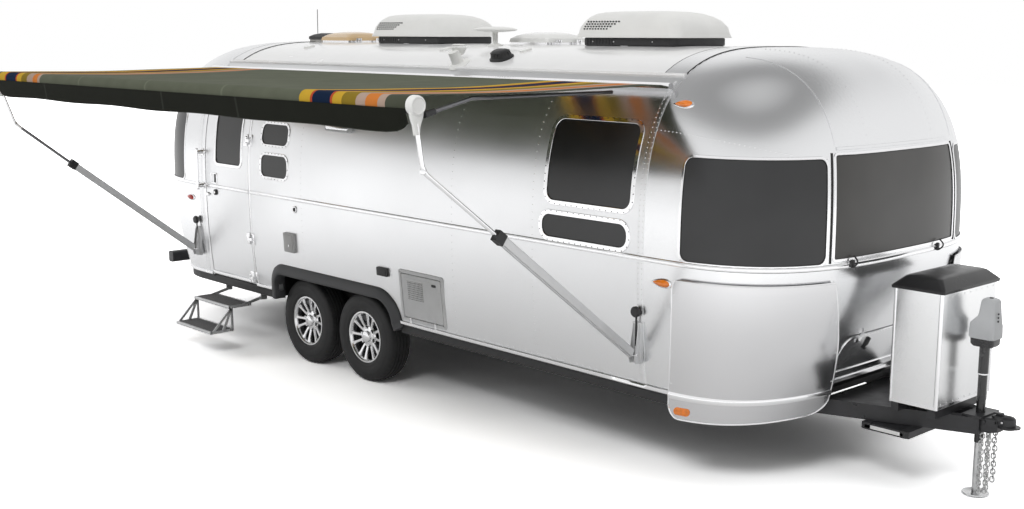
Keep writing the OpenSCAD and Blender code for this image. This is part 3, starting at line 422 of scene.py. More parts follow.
def spots_along(pairs, pitch, off=0.0, road=False):
    """Evenly spaced rivet places along a line of (t, v) skin stations."""
    pts = [skin(t, v) for t, v in pairs]
    out = []
    want = pitch / 2
    run = 0.0
    for k in range(len(pairs) - 1):
        d = (pts[k + 1] - pts[k]).length
        while want <= run + d and d > 0:
            f = (want - run) / d
            t = pairs[k][0] + (pairs[k + 1][0] - pairs[k][0]) * f
            v = pairs[k][1] + (pairs[k + 1][1] - pairs[k][1]) * f
            p, n = skin(t, v, off), skin_normal(t, v)
            if road:
                p, n = other_side(p), flipped(n)
            out.append((p, n))
            want += pitch
        run += d
    return out


# ---- materials --------------------------------------------------------------


def new_material(name):
    mat = bpy.data.materials.get(name)
    if mat:
        return mat, None, None
    mat = bpy.data.materials.new(name)
    mat.use_nodes = True
    nodes = mat.node_tree.nodes
    return mat, nodes, nodes["Principled BSDF"]


def wire(mat, a, b):
    mat.node_tree.links.new(a, b)


def noise(mat, scale, detail=3.0, stretch=(1, 1, 1), seed=(0, 0, 0)):
    nodes = mat.node_tree.nodes
    coord = nodes.new("ShaderNodeTexCoord")
    mapping = nodes.new("ShaderNodeMapping")
    mapping.inputs["Scale"].default_value = stretch
    mapping.inputs["Location"].default_value = seed
    wire(mat, coord.outputs["Object"], mapping.inputs["Vector"])
    tex = nodes.new("ShaderNodeTexNoise")
    tex.inputs["Scale"].default_value = scale
    tex.inputs["Detail"].default_value = detail
    wire(mat, mapping.outputs["Vector"], tex.inputs["Vector"])
    return tex.outputs["Fac"]


def ramp(mat, fac, stops, mode="LINEAR"):
    node = mat.node_tree.nodes.new("ShaderNodeValToRGB")
    node.color_ramp.interpolation = mode
    els = node.color_ramp.elements
    while len(els) > 1:
        els.remove(els[-1])
    els[0].position = stops[0][0]
    els[0].color = (*stops[0][1], 1) if len(stops[0][1]) == 3 else stops[0][1]
    for pos, col in stops[1:]:
        e = els.new(pos)
        e.color = (*col, 1) if len(col) == 3 else col
    wire(mat, fac, node.inputs["Fac"])
    return node.outputs["Color"]


def maths(mat, operation, a, b):
    """One sum of two sockets."""
    node = mat.node_tree.nodes.new("ShaderNodeMath")
    node.operation = operation
    wire(mat, a, node.inputs[0])
    wire(mat, b, node.inputs[1])
    return node.outputs[0]


def span(mat, fac, lo, hi):
    node = mat.node_tree.nodes.new("ShaderNodeMapRange")
    node.inputs["From Min"].default_value = 0.3
    node.inputs["From Max"].default_value = 0.7
    node.inputs["To Min"].default_value = lo
    node.inputs["To Max"].default_value = hi
    wire(mat, fac, node.inputs["Value"])
    return node.outputs["Result"]


def bump(mat, bsdf, height, strength, distance, after=None):
    node = mat.node_tree.nodes.new("ShaderNodeBump")
    node.inputs["Strength"].default_value = strength
    node.inputs["Distance"].default_value = distance
    wire(mat, height, node.inputs["Height"])
    if after is not None:
        wire(mat, after, node.inputs["Normal"])
    wire(mat, node.outputs["Normal"], bsdf.inputs["Normal"])
    return node.outputs["Normal"]


def shade(col, f):
    return tuple(min(1.0, c * f) for c in col)


def finish(name, color, rough, metallic=0.0, vary=0.06, scale=12.0,
           spread=0.06, bump_strength=0.15, bump_distance=0.0006, fine=180.0, **sockets):
    """A general finish: mottled colour and roughness with a fine and a coarse relief."""
    mat, nodes, bsdf = new_material(name)
    if nodes is None:
        return mat
    coarse = noise(mat, scale, 4.0)
    grain = noise(mat, fine, 2.0)
    wire(mat, ramp(mat, coarse, [(0.3, shade(color, 1 - vary)), (0.7, shade(color, 1 + vary))]),
         bsdf.inputs["Base Color"])
    wire(mat, span(mat, coarse, max(0.02, rough - spread), rough + spread),
         bsdf.inputs["Roughness"])
    bsdf.inputs["Metallic"].default_value = metallic
    bump(mat, bsdf, grain, bump_strength, bump_distance)
    for key, val in sockets.items():
        bsdf.inputs[key.replace("_", " ").title() if key != "ior" else "IOR"].default_value = val
    return mat


def aluminium_sheet(name, color, rough, along, wave=0.012, streak=0.05):
    """Rolled sheet: grain lines along one axis, faint waves between the rivets."""
    mat, nodes, bsdf = new_material(name)
    if nodes is None:
        return mat
    grain = noise(mat, 60.0, 3.0, along)
    cloud = noise(mat, 0.9, 3.0, seed=(3.1, 1.7, 0.4))
    wire(mat, ramp(mat, grain, [(0.25, shade(color, 1 - streak)),
                                (0.75, shade(color, 1 + streak))]), bsdf.inputs["Base Color"])
    wire(mat, maths(mat, "ADD", span(mat, grain, rough - 0.03, rough + 0.03),
                    span(mat, cloud, -0.05, 0.06)), bsdf.inputs["Roughness"])
    bsdf.inputs["Metallic"].default_value = 1.0
    first = bump(mat, bsdf, cloud, 0.35, wave)
    bump(mat, bsdf, grain, 0.06, 0.0004, first)
    return mat


def glass_pane(name, color, rough, alpha):
    mat, nodes, bsdf = new_material(name)
    if nodes is None:
        return mat
    haze = noise(mat, 2.2, 2.0, seed=(1.3, 0.2, 2.2))
    wire(mat, ramp(mat, haze, [(0.3, shade(color, 0.8)), (0.7, shade(color, 1.25))]),
         bsdf.inputs["Base Color"])
    wire(mat, span(mat, haze, rough, rough + 0.04), bsdf.inputs["Roughness"])
    bsdf.inputs["Alpha"].default_value = alpha
    bsdf.inputs["IOR"].default_value = 1.5
    return mat


def canopy_cloth(name, stops, x_low, x_span):
    """Woven acrylic with sewn-in stripes; the UV map is in metres."""
    mat, nodes, bsdf = new_material(name)
    if nodes is None:
        return mat
    uv = nodes.new("ShaderNodeUVMap")
    uv.uv_map = "UVMap"
    split = nodes.new("ShaderNodeSeparateXYZ")
    wire(mat, uv.outputs["UV"], split.inputs["Vector"])
    rel = nodes.new("ShaderNodeMath")
    rel.operation = "MULTIPLY_ADD"
    rel.inputs[1].default_value = 1 / x_span
    rel.inputs[2].default_value = -x_low / x_span
    wire(mat, split.outputs["X"], rel.inputs[0])
    stripes = ramp(mat, rel.outputs[0], stops, "CONSTANT")
    threads = []
    for direction in "XY":
        wave = nodes.new("ShaderNodeTexWave")
        wave.wave_type = "BANDS"
        wave.bands_direction = direction
        wave.inputs["Scale"].default_value = 160.0
        wire(mat, uv.outputs["UV"], wave.inputs["Vector"])
        threads.append(wave.outputs["Fac"])
    weave = maths(mat, "MULTIPLY", *threads)
    mottle = noise(mat, 6.0, 4.0, (1, 1, 1))
    mix = nodes.new("ShaderNodeMix")
    mix.data_type = "RGBA"
    mix.blend_type = "MULTIPLY"
    mix.inputs[0].default_value = 1.0
    wire(mat, stripes, mix.inputs[6])
    wire(mat, ramp(mat, mottle, [(0.3, (0.86, 0.86, 0.86)), (0.7, (1, 1, 1))]), mix.inputs[7])
    wire(mat, mix.outputs[2], bsdf.inputs["Base Color"])
    bsdf.inputs["Roughness"].default_value = 0.85
    bsdf.inputs["Specular IOR Level"].default_value = 0.1
    bump(mat, bsdf, weave, 0.25, 0.0005)
    return mat


# ---- finishes ---------------------------------------------------------------


def colours():
    return bpy.context.scene.caravan_colours


def sizes():
    return bpy.context.scene.caravan_sizes


def wall_alloy():
    return aluminium_sheet("Wall_Aluminium", tuple(colours().skin), 0.35, (2, 2, 34))


def cap_alloy():
    return aluminium_sheet("Cap_Aluminium", tuple(colours().skin), 0.24, (3, 3, 26), 0.02)


def bright_alloy():
    return aluminium_sheet("Bright_Trim", (0.86, 0.86, 0.87), 0.16, (6, 6, 6), 0.001, 0.03)


def guard_alloy():
    return aluminium_sheet("Guard_Polished", (0.70, 0.70, 0.71), 0.2, (14, 14, 1), 0.004, 0.06)


def white_gloss():
    return finish("White_Gloss", tuple(colours().roof), 0.22, vary=0.02, scale=3.0,
                  bump_strength=0.04, coat_weight=0.3)


def white_plastic():
    return finish("White_Moulding", (0.83, 0.83, 0.81), 0.42, vary=0.03, scale=6.0, fine=420.0)


def black_paint():
    return finish("Chassis_Black", (0.022, 0.022, 0.024), 0.36, vary=0.25, scale=9.0,
                  spread=0.1, bump_strength=0.22, fine=120.0)


def black_plastic():
    return finish("Black_Moulding", (0.018, 0.018, 0.019), 0.5, vary=0.2, scale=20.0, fine=500.0)


def black_seal():
    return finish("Rubber_Seal", (0.014, 0.014, 0.014), 0.72, vary=0.2, scale=25.0)


def fender_grey():
    return finish("Fender_Grey", tuple(colours().fender), 0.5, vary=0.08, scale=5.0,
                  bump_strength=0.3, fine=700.0)


def side_glass():
    return glass_pane("Side_Glass", (0.024, 0.0245, 0.0255), 0.3, 1.0)


def front_glass():
    return glass_pane("Front_Glass", (0.048, 0.046, 0.043), 0.3, 1.0)


def dark_inside():
    return finish("Inside_Lining", (0.12, 0.11, 0.1), 0.8, vary=0.1, scale=3.0)


# ---- windows ----------------------------------------------------------------

# Stations t0 to t1, heights z0 to z1, corner radius, width of the frame's band, kind of
# glass, and where it is: on both walls, in the nose or in the tail
Window = namedtuple("Window", "t0 t1 z0 z1 r band glass place")


def window_list():
    corner = (1.404, 2.045, 0.07, 0.017, "side")
    centre = (1.424, 2.062, 0.03, 0.018, "front")
    vista, galley = (0.095, 0.032, "side", "both"), (0.08, 0.024, "side", "both")
    return [
        Window(bx(2.535), bx(3.32), 1.65, 2.225, *vista),
        Window(bx(2.5), bx(3.3), 1.41, 1.618, *vista),
        Window(bx(-0.87), bx(-0.44), 1.8, 2.012, *galley),
        Window(bx(-0.87), bx(-0.44), 1.53, 1.756, *galley),
        Window(X_FRONT + 0.27, t_nose(-0.743) - 0.004, *corner, "nose"),
        Window(t_nose(-0.715), t_nose(0.652), *centre, "nose"),
        Window(t_nose(0.68) + 0.004, X_FRONT + NOSE_LEN - 0.27, *corner, "nose"),
        Window(t_tail(-0.7) + 0.004, X_REAR - 0.27, *corner, "tail"),
        Window(t_tail(0.672), t_tail(-0.672), *centre, "tail"),
        Window(X_REAR - TAIL_LEN + 0.27, t_tail(0.7) - 0.004, *corner, "tail"),
    ]


def hole_of(w):
    """The rectangle cut from the skin under a window's frame."""
    inset = min(w.band - 0.0003, 0.296 * w.r)
    return w.t0 + inset, w.t1 - inset, v_at(w.z0 + inset), v_at(w.z1 - inset)


def marks(holes, k):
    return [h[k] for h in holes] + [h[k + 1] for h in holes]


def mirror_mesh(bm):
    """Moves a finished shape to the road side."""
    for v in bm.verts:
        v.co = other_side(v.co)
    bmesh.ops.reverse_faces(bm, faces=bm.faces)


# ---- shell ------------------------------------------------------------------

RAIL_V = v_at(2.478)
DOOR_X0, DOOR_X1 = bx(-1.765), bx(-1.05)
DOOR_TOP = 2.19
HEATER = (bx(1.02), bx(1.485), 0.64, 0.985)
ARCH = (bx(-0.7), bx(0.885), 0.737)
HATCH_HALF, HATCH_Z0, HATCH_Z1 = 0.46, 0.655, 0.925
VENT_SPOTS = ((bx(1.243), "vent_lid_front"), (bx(-1.3), "vent_lid_rear"))
VENT_HALF = 0.178
WALL_T = 0.042


def side_panel(name, road):
    holes = [hole_of(w) for w in window_list() if w.place == "both"]
    holes.append((ARCH[0], ARCH[1], -1.01, v_at(ARCH[2])))
    if not road:
        holes.append((DOOR_X0, DOOR_X1, -1.01, v_at(DOOR_TOP)))
        holes.append((HEATER[0], HEATER[1], v_at(HEATER[2]), v_at(HEATER[3])))
    ts = lines(X_REAR, X_FRONT, 0.25, marks(holes, 0))
    vs = lines(-1, RAIL_V, 0.07, marks(holes, 2))
    bm = patch(ts, vs, skin, holes)
    if road:
        mirror_mesh(bm)
    obj = add(name, bm, [wall_alloy(), dark_inside()], normals=False)
    solidify(obj, WALL_T, lining=1)
    return obj


def end_panel(name, nose, upper):
    holes = []
    if upper:
        holes = [hole_of(w) for w in window_list() if w.place == ("nose" if nose else "tail")]
    elif nose:
        holes = [(t_nose(-HATCH_HALF - 0.006), t_nose(HATCH_HALF + 0.006),
                  v_at(HATCH_Z0 - 0.006), v_at(HATCH_Z1 + 0.006))]
    t0, t1 = (X_FRONT, X_FRONT + NOSE_LEN) if nose else (X_REAR - TAIL_LEN, X_REAR)
    ts = lines(t0, t1, 0.045, marks(holes, 0))
    low, high = (0, math.pi / 2) if upper else (-1, 0)
    vs = lines(low, high, 0.05 if upper else 0.1, marks(holes, 2))
    obj = add(name, patch(ts, vs, skin, holes), [cap_alloy(), dark_inside()], normals=False,
              weld=1e-4)
    solidify(obj, WALL_T, lining=1)
    return obj


def roof_sheet():
    top = math.pi - RAIL_V

    def point(t, v):
        return skin(t, v) if v <= math.pi / 2 else other_side(skin(t, math.pi - v))

    def v_at_y(y):
        c = y / HALF_W
        return math.atan2((1 - c ** SQUARE_N) ** (1 / SQUARE_N), c)

    edge = v_at_y(VENT_HALF)
    holes = [(x - VENT_HALF, x + VENT_HALF, edge, math.pi - edge) for x, _ in VENT_SPOTS]
    vs = lines(RAIL_V, top, 0.05, marks(holes, 2) + [math.pi / 2])
    bm = patch(lines(X_REAR - 0.012, X_FRONT + 0.012, 0.3, marks(holes, 0)), vs, point, holes)
    obj = add("Roof_Sheet", bm, [white_gloss(), dark_inside()], normals=False)
    solidify(obj, WALL_T, lining=1)
    return obj


class CARAVAN_OT_shell(bpy.types.Operator):
    """Build the aluminium side walls and end caps and the white roof"""
    bl_idname = "caravan.shell"
    bl_label = "Body Shell"

    def execute(self, context):
        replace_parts(side_panel("Curb_Wall_Sheet", False), "curb_wall")
        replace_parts(side_panel("Road_Wall_Sheet", True), "road_wall")
        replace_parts(roof_sheet(), "roof_panel")
        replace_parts(end_panel("Nose_Upper_Sheet", True, True), "front_cap_upper")
        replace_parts(end_panel("Nose_Lower_Sheet", True, False), "front_cap_lower")
        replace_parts(end_panel("Tail_Upper_Sheet", False, True), "rear_cap_upper")
        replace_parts(end_panel("Tail_Lower_Sheet", False, False), "rear_cap_lower")
        return {"FINISHED"}


# ---- windows ----------------------------------------------------------------


def raised_band(band, rise, depth, lip):
    """Profile of a flat band with its two edges broken."""
    return [(0, -depth), (0, rise - lip), (lip, rise), (band - lip, rise), (band, rise - lip),
            (band, -depth)]


def frame_ring(bm, outline, band, rise, road=False):
    """A raised ring round an outline of (t, z) stations, its band going inward."""
    n = len(outline)
    path, sides = [], []
    for k, (t, z) in enumerate(outline):
        v = v_at(z)
        p, up = skin(t, v), skin_normal(t, v)
        q = skin(outline[(k + 1) % n][0], v_at(outline[(k + 1) % n][1]))
        r = skin(outline[k - 1][0], v_at(outline[k - 1][1]))
        along = (q - r).normalized()
        inward = up.cross(along).normalized()
        if road:
            p, up, inward = other_side(p), flipped(up), flipped(inward)
        path.append(p)
        sides.append((inward, up))
    return sweep(path, sides, raised_band(band, rise, 0.012, min(0.003, rise * 0.5)), True, bm)


def inset_outline(w, inset, n, split=0.07):
    """A window's outline brought in by an inset."""
    return outline_rect(w.t0 + inset, w.t1 - inset, w.z0 + inset, w.z1 - inset, w.r - inset, n,
                        split)


def pane_patch(w, road):
    """A pane just under the skin that fills a window's hole."""
    t0, t1, v0, v1 = hole_of(w)
    play, sunk = 0.0008, -0.002
    ts = lines(t0 + play, t1 - play, 0.05 if w.place != "both" else 0.3)
    bm = patch(ts, lines(v0 + play, v1 - play, 0.05), lambda t, v: skin(t, v, sunk))
    if road:
        mirror_mesh(bm)
    return bm


def frame_rivets(w, road):
    out = inset_outline(w, 0.008, 5, 0.03)
    return spots_along([(t, v_at(z)) for t, z in out + out[:1]], 0.05, 0.004, road)


class CARAVAN_OT_windows(bpy.types.Operator):
    """Build the window frames and panes of the walls and both ends"""
    bl_idname = "caravan.windows"
    bl_label = "Windows"

    def execute(self, context):
        frames, seals, spots = bmesh.new(), bmesh.new(), []
        panes = {"side": bmesh.new(), "front": bmesh.new()}
        for w in window_list():
            for road in ((False, True) if w.place == "both" else (False,)):
                frame_ring(frames, inset_outline(w, 0, 6), w.band, 0.004, road)
                frame_ring(seals, inset_outline(w, w.band - 0.001, 5), 0.004, 0.002, road)
                if w.place == "both":
                    spots += frame_rivets(w, road)
                merge(panes[w.glass], pane_patch(w, road))
        ring = add("Window_Frames", frames, bright_alloy())
        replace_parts(ring, "window_frames")
        add("Window_Seals", seals, black_seal())
        for glass, bm in panes.items():
            obj = add("Panes_" + glass, bm, side_glass() if glass == "side" else front_glass(),
                      normals=False)
            solidify(obj, 0.005)
            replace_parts(obj, "windows")
        scatter("Frame_Rivets", dome(0.0045, 0.003, 6), spots, black_seal())
        return {"FINISHED"}


# ---- seams and rivets -------------------------------------------------------


def seam_strip(bm, pairs, width, rise, road=False):
    """A thin lap strip along (t, v) stations."""
    path, sides = [], []
    n = len(pairs)
    for k, (t, v) in enumerate(pairs):
        p, up = skin(t, v), skin_normal(t, v)
        a = pairs[min(k + 1, n - 1)]
        b = pairs[max(k - 1, 0)]
        along = (skin(*a) - skin(*b)).normalized()
        side = along.cross(up).normalized()
        if road:
            p, up, side = other_side(p), flipped(up), flipped(side)
        path.append(p)
        sides.append((side, up))
    h = width / 2
    return sweep(path, sides, [(-h, -0.003), (-h, rise * 0.5), (-h + 0.002, rise),
                               (h - 0.002, rise), (h, rise * 0.5), (h, -0.003)], bm=bm)


def upright(t, v0, v1, n=40):
    return [(t, v0 + (v1 - v0) * k / n) for k in range(n + 1)]


def level_line(t0, t1, z, n=60):
    v = v_at(z)
    return [(t0 + (t1 - t0) * k / n, v) for k in range(n + 1)]


def gore_line(y, nose, z_low, n=36):
    """A seam that stays at one y while it climbs an end cap from a height to the crown."""
    pairs = []
    side = -1 if y < 0 else 1
    v0 = v_at(z_low)
    for k in range(n + 1):
        v = v0 + (math.pi / 2 - 0.02 - v0) * k / n
        w = level(v)[0]
        if abs(y) >= 0.995 * w:
            break
        at_belt = side * abs(y) / w * HALF_W
        pairs.append((t_nose(at_belt) if nose else t_tail(at_belt), v))
    return pairs


def seam_lists():
    """Lines of rivets and laps: stations, strip width or 0, road side too, pitch."""
    falling = [(X_FRONT + 0.95 * k / 40, v_at(2.17 - 0.115 * (k / 40) ** 1.7))
               for k in range(41)]
    out = [(upright(t, -0.99, RAIL_V - 0.03), 0.05, True, 0.032)
           for t in (X_FRONT - 0.012, X_REAR + 0.012)]
    out += [(upright(bx(x), low, v_at(2.44)), 0, True, 0.05)
            for x, low in ((-0.26, v_at(0.86)), (1.62, -0.96), (2.44, -0.96))]
    out += [(level_line(X_REAR, DOOR_X0 - 0.03, 0.62), 0, False, 0.06),
            (level_line(bx(0.98), X_FRONT, 0.62), 0, True, 0.06),
            (level_line(X_REAR, X_FRONT, 2.405, 80), 0, True, 0.05),
            (falling, 0, True, 0.03)]
    out += [(level_line(X_REAR - TAIL_LEN, X_REAR, z, 100), 0, False, 0.05)
            for z in (2.17, 0.63, 1.34)]
    for nose in (True, False):
        for y in (-0.66, 0.66):
            out.append((gore_line(y, nose, 2.10), 0.008, False, 9.0))
        for y in (-0.37, 0.37):
            out.append((gore_line(y, nose, 2.13), 0, False, 0.036))
        for y in (-0.69, 0.69):
            out.append(([p for p in gore_line(y, nose, 0.62, 50) if p[1] < -0.05], 0, False,
                        0.045))
    return out


class CARAVAN_OT_seams(bpy.types.Operator):
    """Lap the sheets over each other and rivet the laps"""
    bl_idname = "caravan.seams"
    bl_label = "Seams And Rivets"

    def execute(self, context):
        strips, bands, edges, spots = bmesh.new(), bmesh.new(), bmesh.new(), []
        for pairs, width, both, pitch in seam_lists():
            for road in ((False, True) if both else (False,)):
                if width:
                    seam_strip(strips, pairs, width, 0.0018, road)
                    for s in (width * 0.3, -width * 0.3):
                        spots += spots_along([(t + s, v) for t, v in pairs], pitch, 0.0015,
                                             road)
                else:
                    spots += spots_along(pairs, pitch, 0.0, road)
        r = sizes().rivet / 2
        keep = [s for s in spots if clear_of_openings(s[0])]
        add("Sheet_Laps", strips, wall_alloy())
        for t, inward in ((X_FRONT, -1), (X_REAR, 1)):
            for road in (False, True):
                for bm, shift, width, rise in ((bands, 0.085, 0.17, 0.004),
                                               (edges, 0.0, 0.007, 0.0045),
                                               (edges, 0.172, 0.007, 0.0045)):
                    seam_strip(bm, upright(t + inward * shift, RAIL_V + 0.02, math.pi / 2, 48),
                               width, rise, road)
        hinge = [(t_nose(-0.69 + 1.30 * k / 24), v_at(2.083)) for k in range(25)]
        seam_strip(bands, hinge, 0.02, 0.006)
        for y in (-0.729, 0.666):
            seam_strip(edges, upright(t_nose(y), v_at(1.42), v_at(2.06), 14), 0.016, 0.004)
        add("Roof_Joint_Bands", bands, cap_alloy())
        add("Joint_Edges", edges, black_seal())
        scatter("Skin_Rivets", dome(r, r * 0.6, 6), keep, bright_alloy())
        return {"FINISHED"}


def clear_of_openings(p):
    """True where a rivet is not over the door, a window or an arch."""
    x, z = p.x, p.z
    if p.y < Y_MID and DOOR_X0 - 0.03 < x < DOOR_X1 + 0.03 and z < DOOR_TOP + 0.03:
        return False
    if ARCH[0] - 0.1 < x < ARCH[1] + 0.08 and z < 0.84:
        return False
    return not any(w.place == "both" and w.t0 - 0.01 < x < w.t1 + 0.01
                   and w.z0 - 0.01 < z < w.z1 + 0.01 for w in window_list())


# ---- belt trim, rub rail, drip rail -----------------------------------------


def skin_path(t0, t1, z, step):
    n = max(2, int(abs(t1 - t0) / step))
    v = v_at(z)
    return [(t0 + (t1 - t0) * k / n, v) for k in range(n + 1)]


def trim_run(bm, pairs, profile, road=False):
    """Draws a profile of (up, out) pairs along stations of the skin."""
    path, sides = [], []
    for t, v in pairs:
        p, up = skin(t, v), skin_normal(t, v)
        out = Vector((up.x, up.y, 0)).normalized()
        if road:
            p, out = other_side(p), flipped(out)
        path.append(p)
        sides.append((UP, out))
    return sweep(path, sides, profile, bm=bm)


def whole_ends(bm, z, profile):
    """Draws a profile right round the nose and the tail."""
    trim_run(bm, skin_path(X_FRONT, X_FRONT + NOSE_LEN, z, 0.04), profile)
    trim_run(bm, skin_path(X_REAR - TAIL_LEN, X_REAR, z, 0.04), profile)


BELT_PROFILE = [(-0.016, -0.004), (-0.016, 0.003), (-0.012, 0.0065), (-0.006, 0.0045),
                (0.006, 0.0045), (0.012, 0.0065), (0.016, 0.003), (0.016, -0.004)]
RUB_PROFILE = [(-0.016, -0.01), (-0.016, 0.008), (-0.010, 0.013), (0.010, 0.013),
               (0.016, 0.006), (0.018, -0.01)]
SKIRT_PROFILE = [(-0.05, -0.04), (-0.05, -0.02), (-0.014, 0.004), (-0.014, -0.04)]
DRIP_PROFILE = [(-0.014, -0.012), (-0.014, 0.010), (-0.004, 0.017), (0.004, 0.017),
                (0.006, 0.006), (0.016, 0.004), (0.016, -0.012)]


class CARAVAN_OT_trims(bpy.types.Operator):
    """Run the belt trim, the rub rail and the drip rails along the skin"""
    bl_idname = "caravan.trims"
    bl_label = "Trim Rails"

    def execute(self, context):
        belt, rub, skirt, drip = (bmesh.new() for _ in range(4))
        whole_ends(belt, BELT, BELT_PROFILE)
        for a, b in ((X_REAR, bx(-1.845)), (DOOR_X1 + 0.014, X_FRONT)):
            trim_run(belt, skin_path(a, b, BELT, 0.3), BELT_PROFILE)
        trim_run(belt, skin_path(X_REAR, X_FRONT, BELT, 0.3), BELT_PROFILE, True)
        low = SILL + 0.016
        runs = [(X_REAR, DOOR_X0 - 0.014, False), (DOOR_X1 + 0.014, ARCH[0] - 0.1, False),
                (ARCH[1] + 0.075, X_FRONT, False), (X_REAR, ARCH[0] - 0.1, True),
                (ARCH[1] + 0.075, X_FRONT, True)]
        for a, b, road in runs:
            trim_run(rub, skin_path(a, b, low, 0.3), RUB_PROFILE, road)
            trim_run(skirt, skin_path(a, b, low, 0.3), SKIRT_PROFILE, road)
        whole_ends(rub, low, RUB_PROFILE)
        whole_ends(skirt, low, SKIRT_PROFILE)
        for road in (False, True):
            trim_run(drip, skin_path(X_REAR - 0.01, X_FRONT + 0.01, 2.484, 0.3), DRIP_PROFILE,
                     road)
        rails = add("Belt_Trim", belt, bright_alloy())
        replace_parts(rails, "trim_rails")
        add("Rub_Rail", rub, bright_alloy())
        add("Under_Skirt", skirt, black_plastic())
        add("Drip_Rails", drip, white_gloss())
        return {"FINISHED"}


# ---- small shapes placed on the skin ----------------------------------------


def on_skin(t, z, off=0.0, road=False):
    """Place whose X runs along the skin, Y up it and Z out of it."""
    v = v_at(z)
    p, n = skin(t, v, off), skin_normal(t, v)
    along = (skin(t + 0.01, v) - skin(t - 0.01, v)).normalized()
    m = axes_at(p, along, n)
    return crossed(m) if road else m


def axes_at(p, along, out):
    """Placement at p with X along and Z out."""
    m = Matrix((along, out.cross(along), out)).transposed().to_4x4()
    m.translation = p
    return m


def shift(x, y, z):
    return Matrix.Translation((x, y, z))


def merge(dst, src, place=None):
    """Adds a finished shape to another one, moved by a matrix."""
    if place is not None:
        bmesh.ops.transform(src, matrix=place, verts=src.verts)
    mesh = bpy.data.meshes.new("part")
    src.to_mesh(mesh)
    src.free()
    dst.from_mesh(mesh)
    bpy.data.meshes.remove(mesh)
    return dst


def plate(w, h, depth, r=0.01, bevel=0.002, low=0.0, n=5):
    """A rounded plate in its own X and Y that rises from low to depth."""
    bm = bmesh.new()
    verts = [bm.verts.new((x, y, low)) for x, y in round_rect(w, h, r, n)]
    face = bm.faces.new(verts)
    top = bmesh.ops.extrude_face_region(bm, geom=[face])["geom"]
    moved = [g for g in top if isinstance(g, bmesh.types.BMVert)]
    bmesh.ops.translate(bm, verts=moved, vec=(0, 0, depth - low))
    if bevel:
        soften(bm, [e for e in bm.edges if all(v in moved for v in e.verts)], bevel)
    return bm


def frame_plate(w, h, band, rise, r):
    """A flat ring in its own X and Y."""
    path = [Vector((x, y, 0)) for x, y in round_rect(w, h, r, 6)]
    n = len(path)
    sides = []
    for k in range(n):
        along = (path[(k + 1) % n] - path[k - 1]).normalized()
        sides.append((Vector((-along.y, along.x, 0)), UP))
    return sweep(path, sides, raised_band(band, rise, 0.004, min(0.002, rise * 0.4)), True)


def teardrop(length, height, rise):
    """A lens that comes to a point at its -X end."""
    bm = bmesh.new()
    bmesh.ops.create_uvsphere(bm, u_segments=24, v_segments=12, radius=1.0)
    for v in bm.verts:
        slim = 0.18 + 0.82 * ((1 + v.co.x) / 2) ** 0.6
        v.co = Vector((v.co.x * length / 2, v.co.y * height / 2 * slim,
                       max(-0.25, v.co.z) * rise * slim))
    return bm


def reface(node, mat):
    """Gives a node that stays in view its better finish."""
    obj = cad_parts[node]
    obj.data.materials.clear()
    obj.data.materials.append(mat)


def lens_plastic(name, color):
    return finish(name, color, 0.12, vary=0.12, scale=60.0, bump_strength=0.3, fine=300.0,
                  coat_weight=0.6)


def amber_lens():
    return lens_plastic("Amber_Lens", tuple(colours().lamp))


def red_lens():
    return lens_plastic("Red_Lens", (0.62, 0.03, 0.015))


# ---- wheel arch trim --------------------------------------------------------


def arch_line():
    """Stations (x, z) up the rear leg, over the wheels and down the front one."""
    r0, r1 = 0.10, 0.17
    x0, x1, top = ARCH
    low = SILL - 0.062
    pts = [(x0 - 0.004, low + (top - r0 - low) * k / 5) for k in range(5)]
    pts += [(x0 + r0 - r0 * math.cos(a), top - r0 + r0 * math.sin(a))
            for a in [math.pi / 2 * k / 8 for k in range(9)]]
    n = 16
    pts += [(x0 + r0 + (x1 - r1 - x0 - r0) * k / n, top) for k in range(1, n)]
    pts += [(x1 - r1 + r1 * math.sin(a), top - r1 + r1 * math.cos(a))
            for a in [math.pi / 2 * k / 10 for k in range(11)]]
    pts += [(x1 + 0.006 * k, top - r1 + (low - top + r1) * k / 5) for k in range(1, 6)]
    return pts


class CARAVAN_OT_fenders(bpy.types.Operator):
    """Build the moulded trim round the wheel arches"""
    bl_idname = "caravan.fenders"
    bl_label = "Wheel Arch Trim"

    def execute(self, context):
        flare, beads = bmesh.new(), bmesh.new()
        pts = arch_line()
        n = len(pts)
        for road in (False, True):
            path, sides = [], []
            for k, (x, z) in enumerate(pts):
                a, b = pts[max(k - 1, 0)], pts[min(k + 1, n - 1)]
                along = Vector((b[0] - a[0], 0, b[1] - a[1])).normalized()
                p = skin(x, v_at(max(z, SILL + 0.002)))
                p.z = z
                path.append(other_side(p) if road else p)
                sides.append((Vector((-along.z, 0, along.x)), Vector((0, 1 if road else -1, 0))))
            sweep(path, sides, [(0.0, -0.06), (0.0, 0.030), (0.004, 0.038), (0.014, 0.042),
                                (0.03, 0.040), (0.07, 0.026), (0.086, 0.016), (0.093, 0.004),
                                (0.093, -0.06)], bm=flare)
            sweep([p + s[0] * 0.094 + s[1] * 0.004 for p, s in zip(path, sides)], sides,
                  ring(8, 0.004), bm=beads)
        trim = add("Arch_Trim", flare, fender_grey())
        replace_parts(trim, "fenders")
        add("Arch_Seals", beads, black_seal())
        reface("wheel_wells", black_plastic())
        reface("floor_pan", black_plastic())
        return {"FINISHED"}


# ---- stone guards -----------------------------------------------------------

GUARD_T0 = X_FRONT + 0.248
GUARD_TOP, GUARD_LOW, BAND_Z = 1.306, 0.435, 0.585


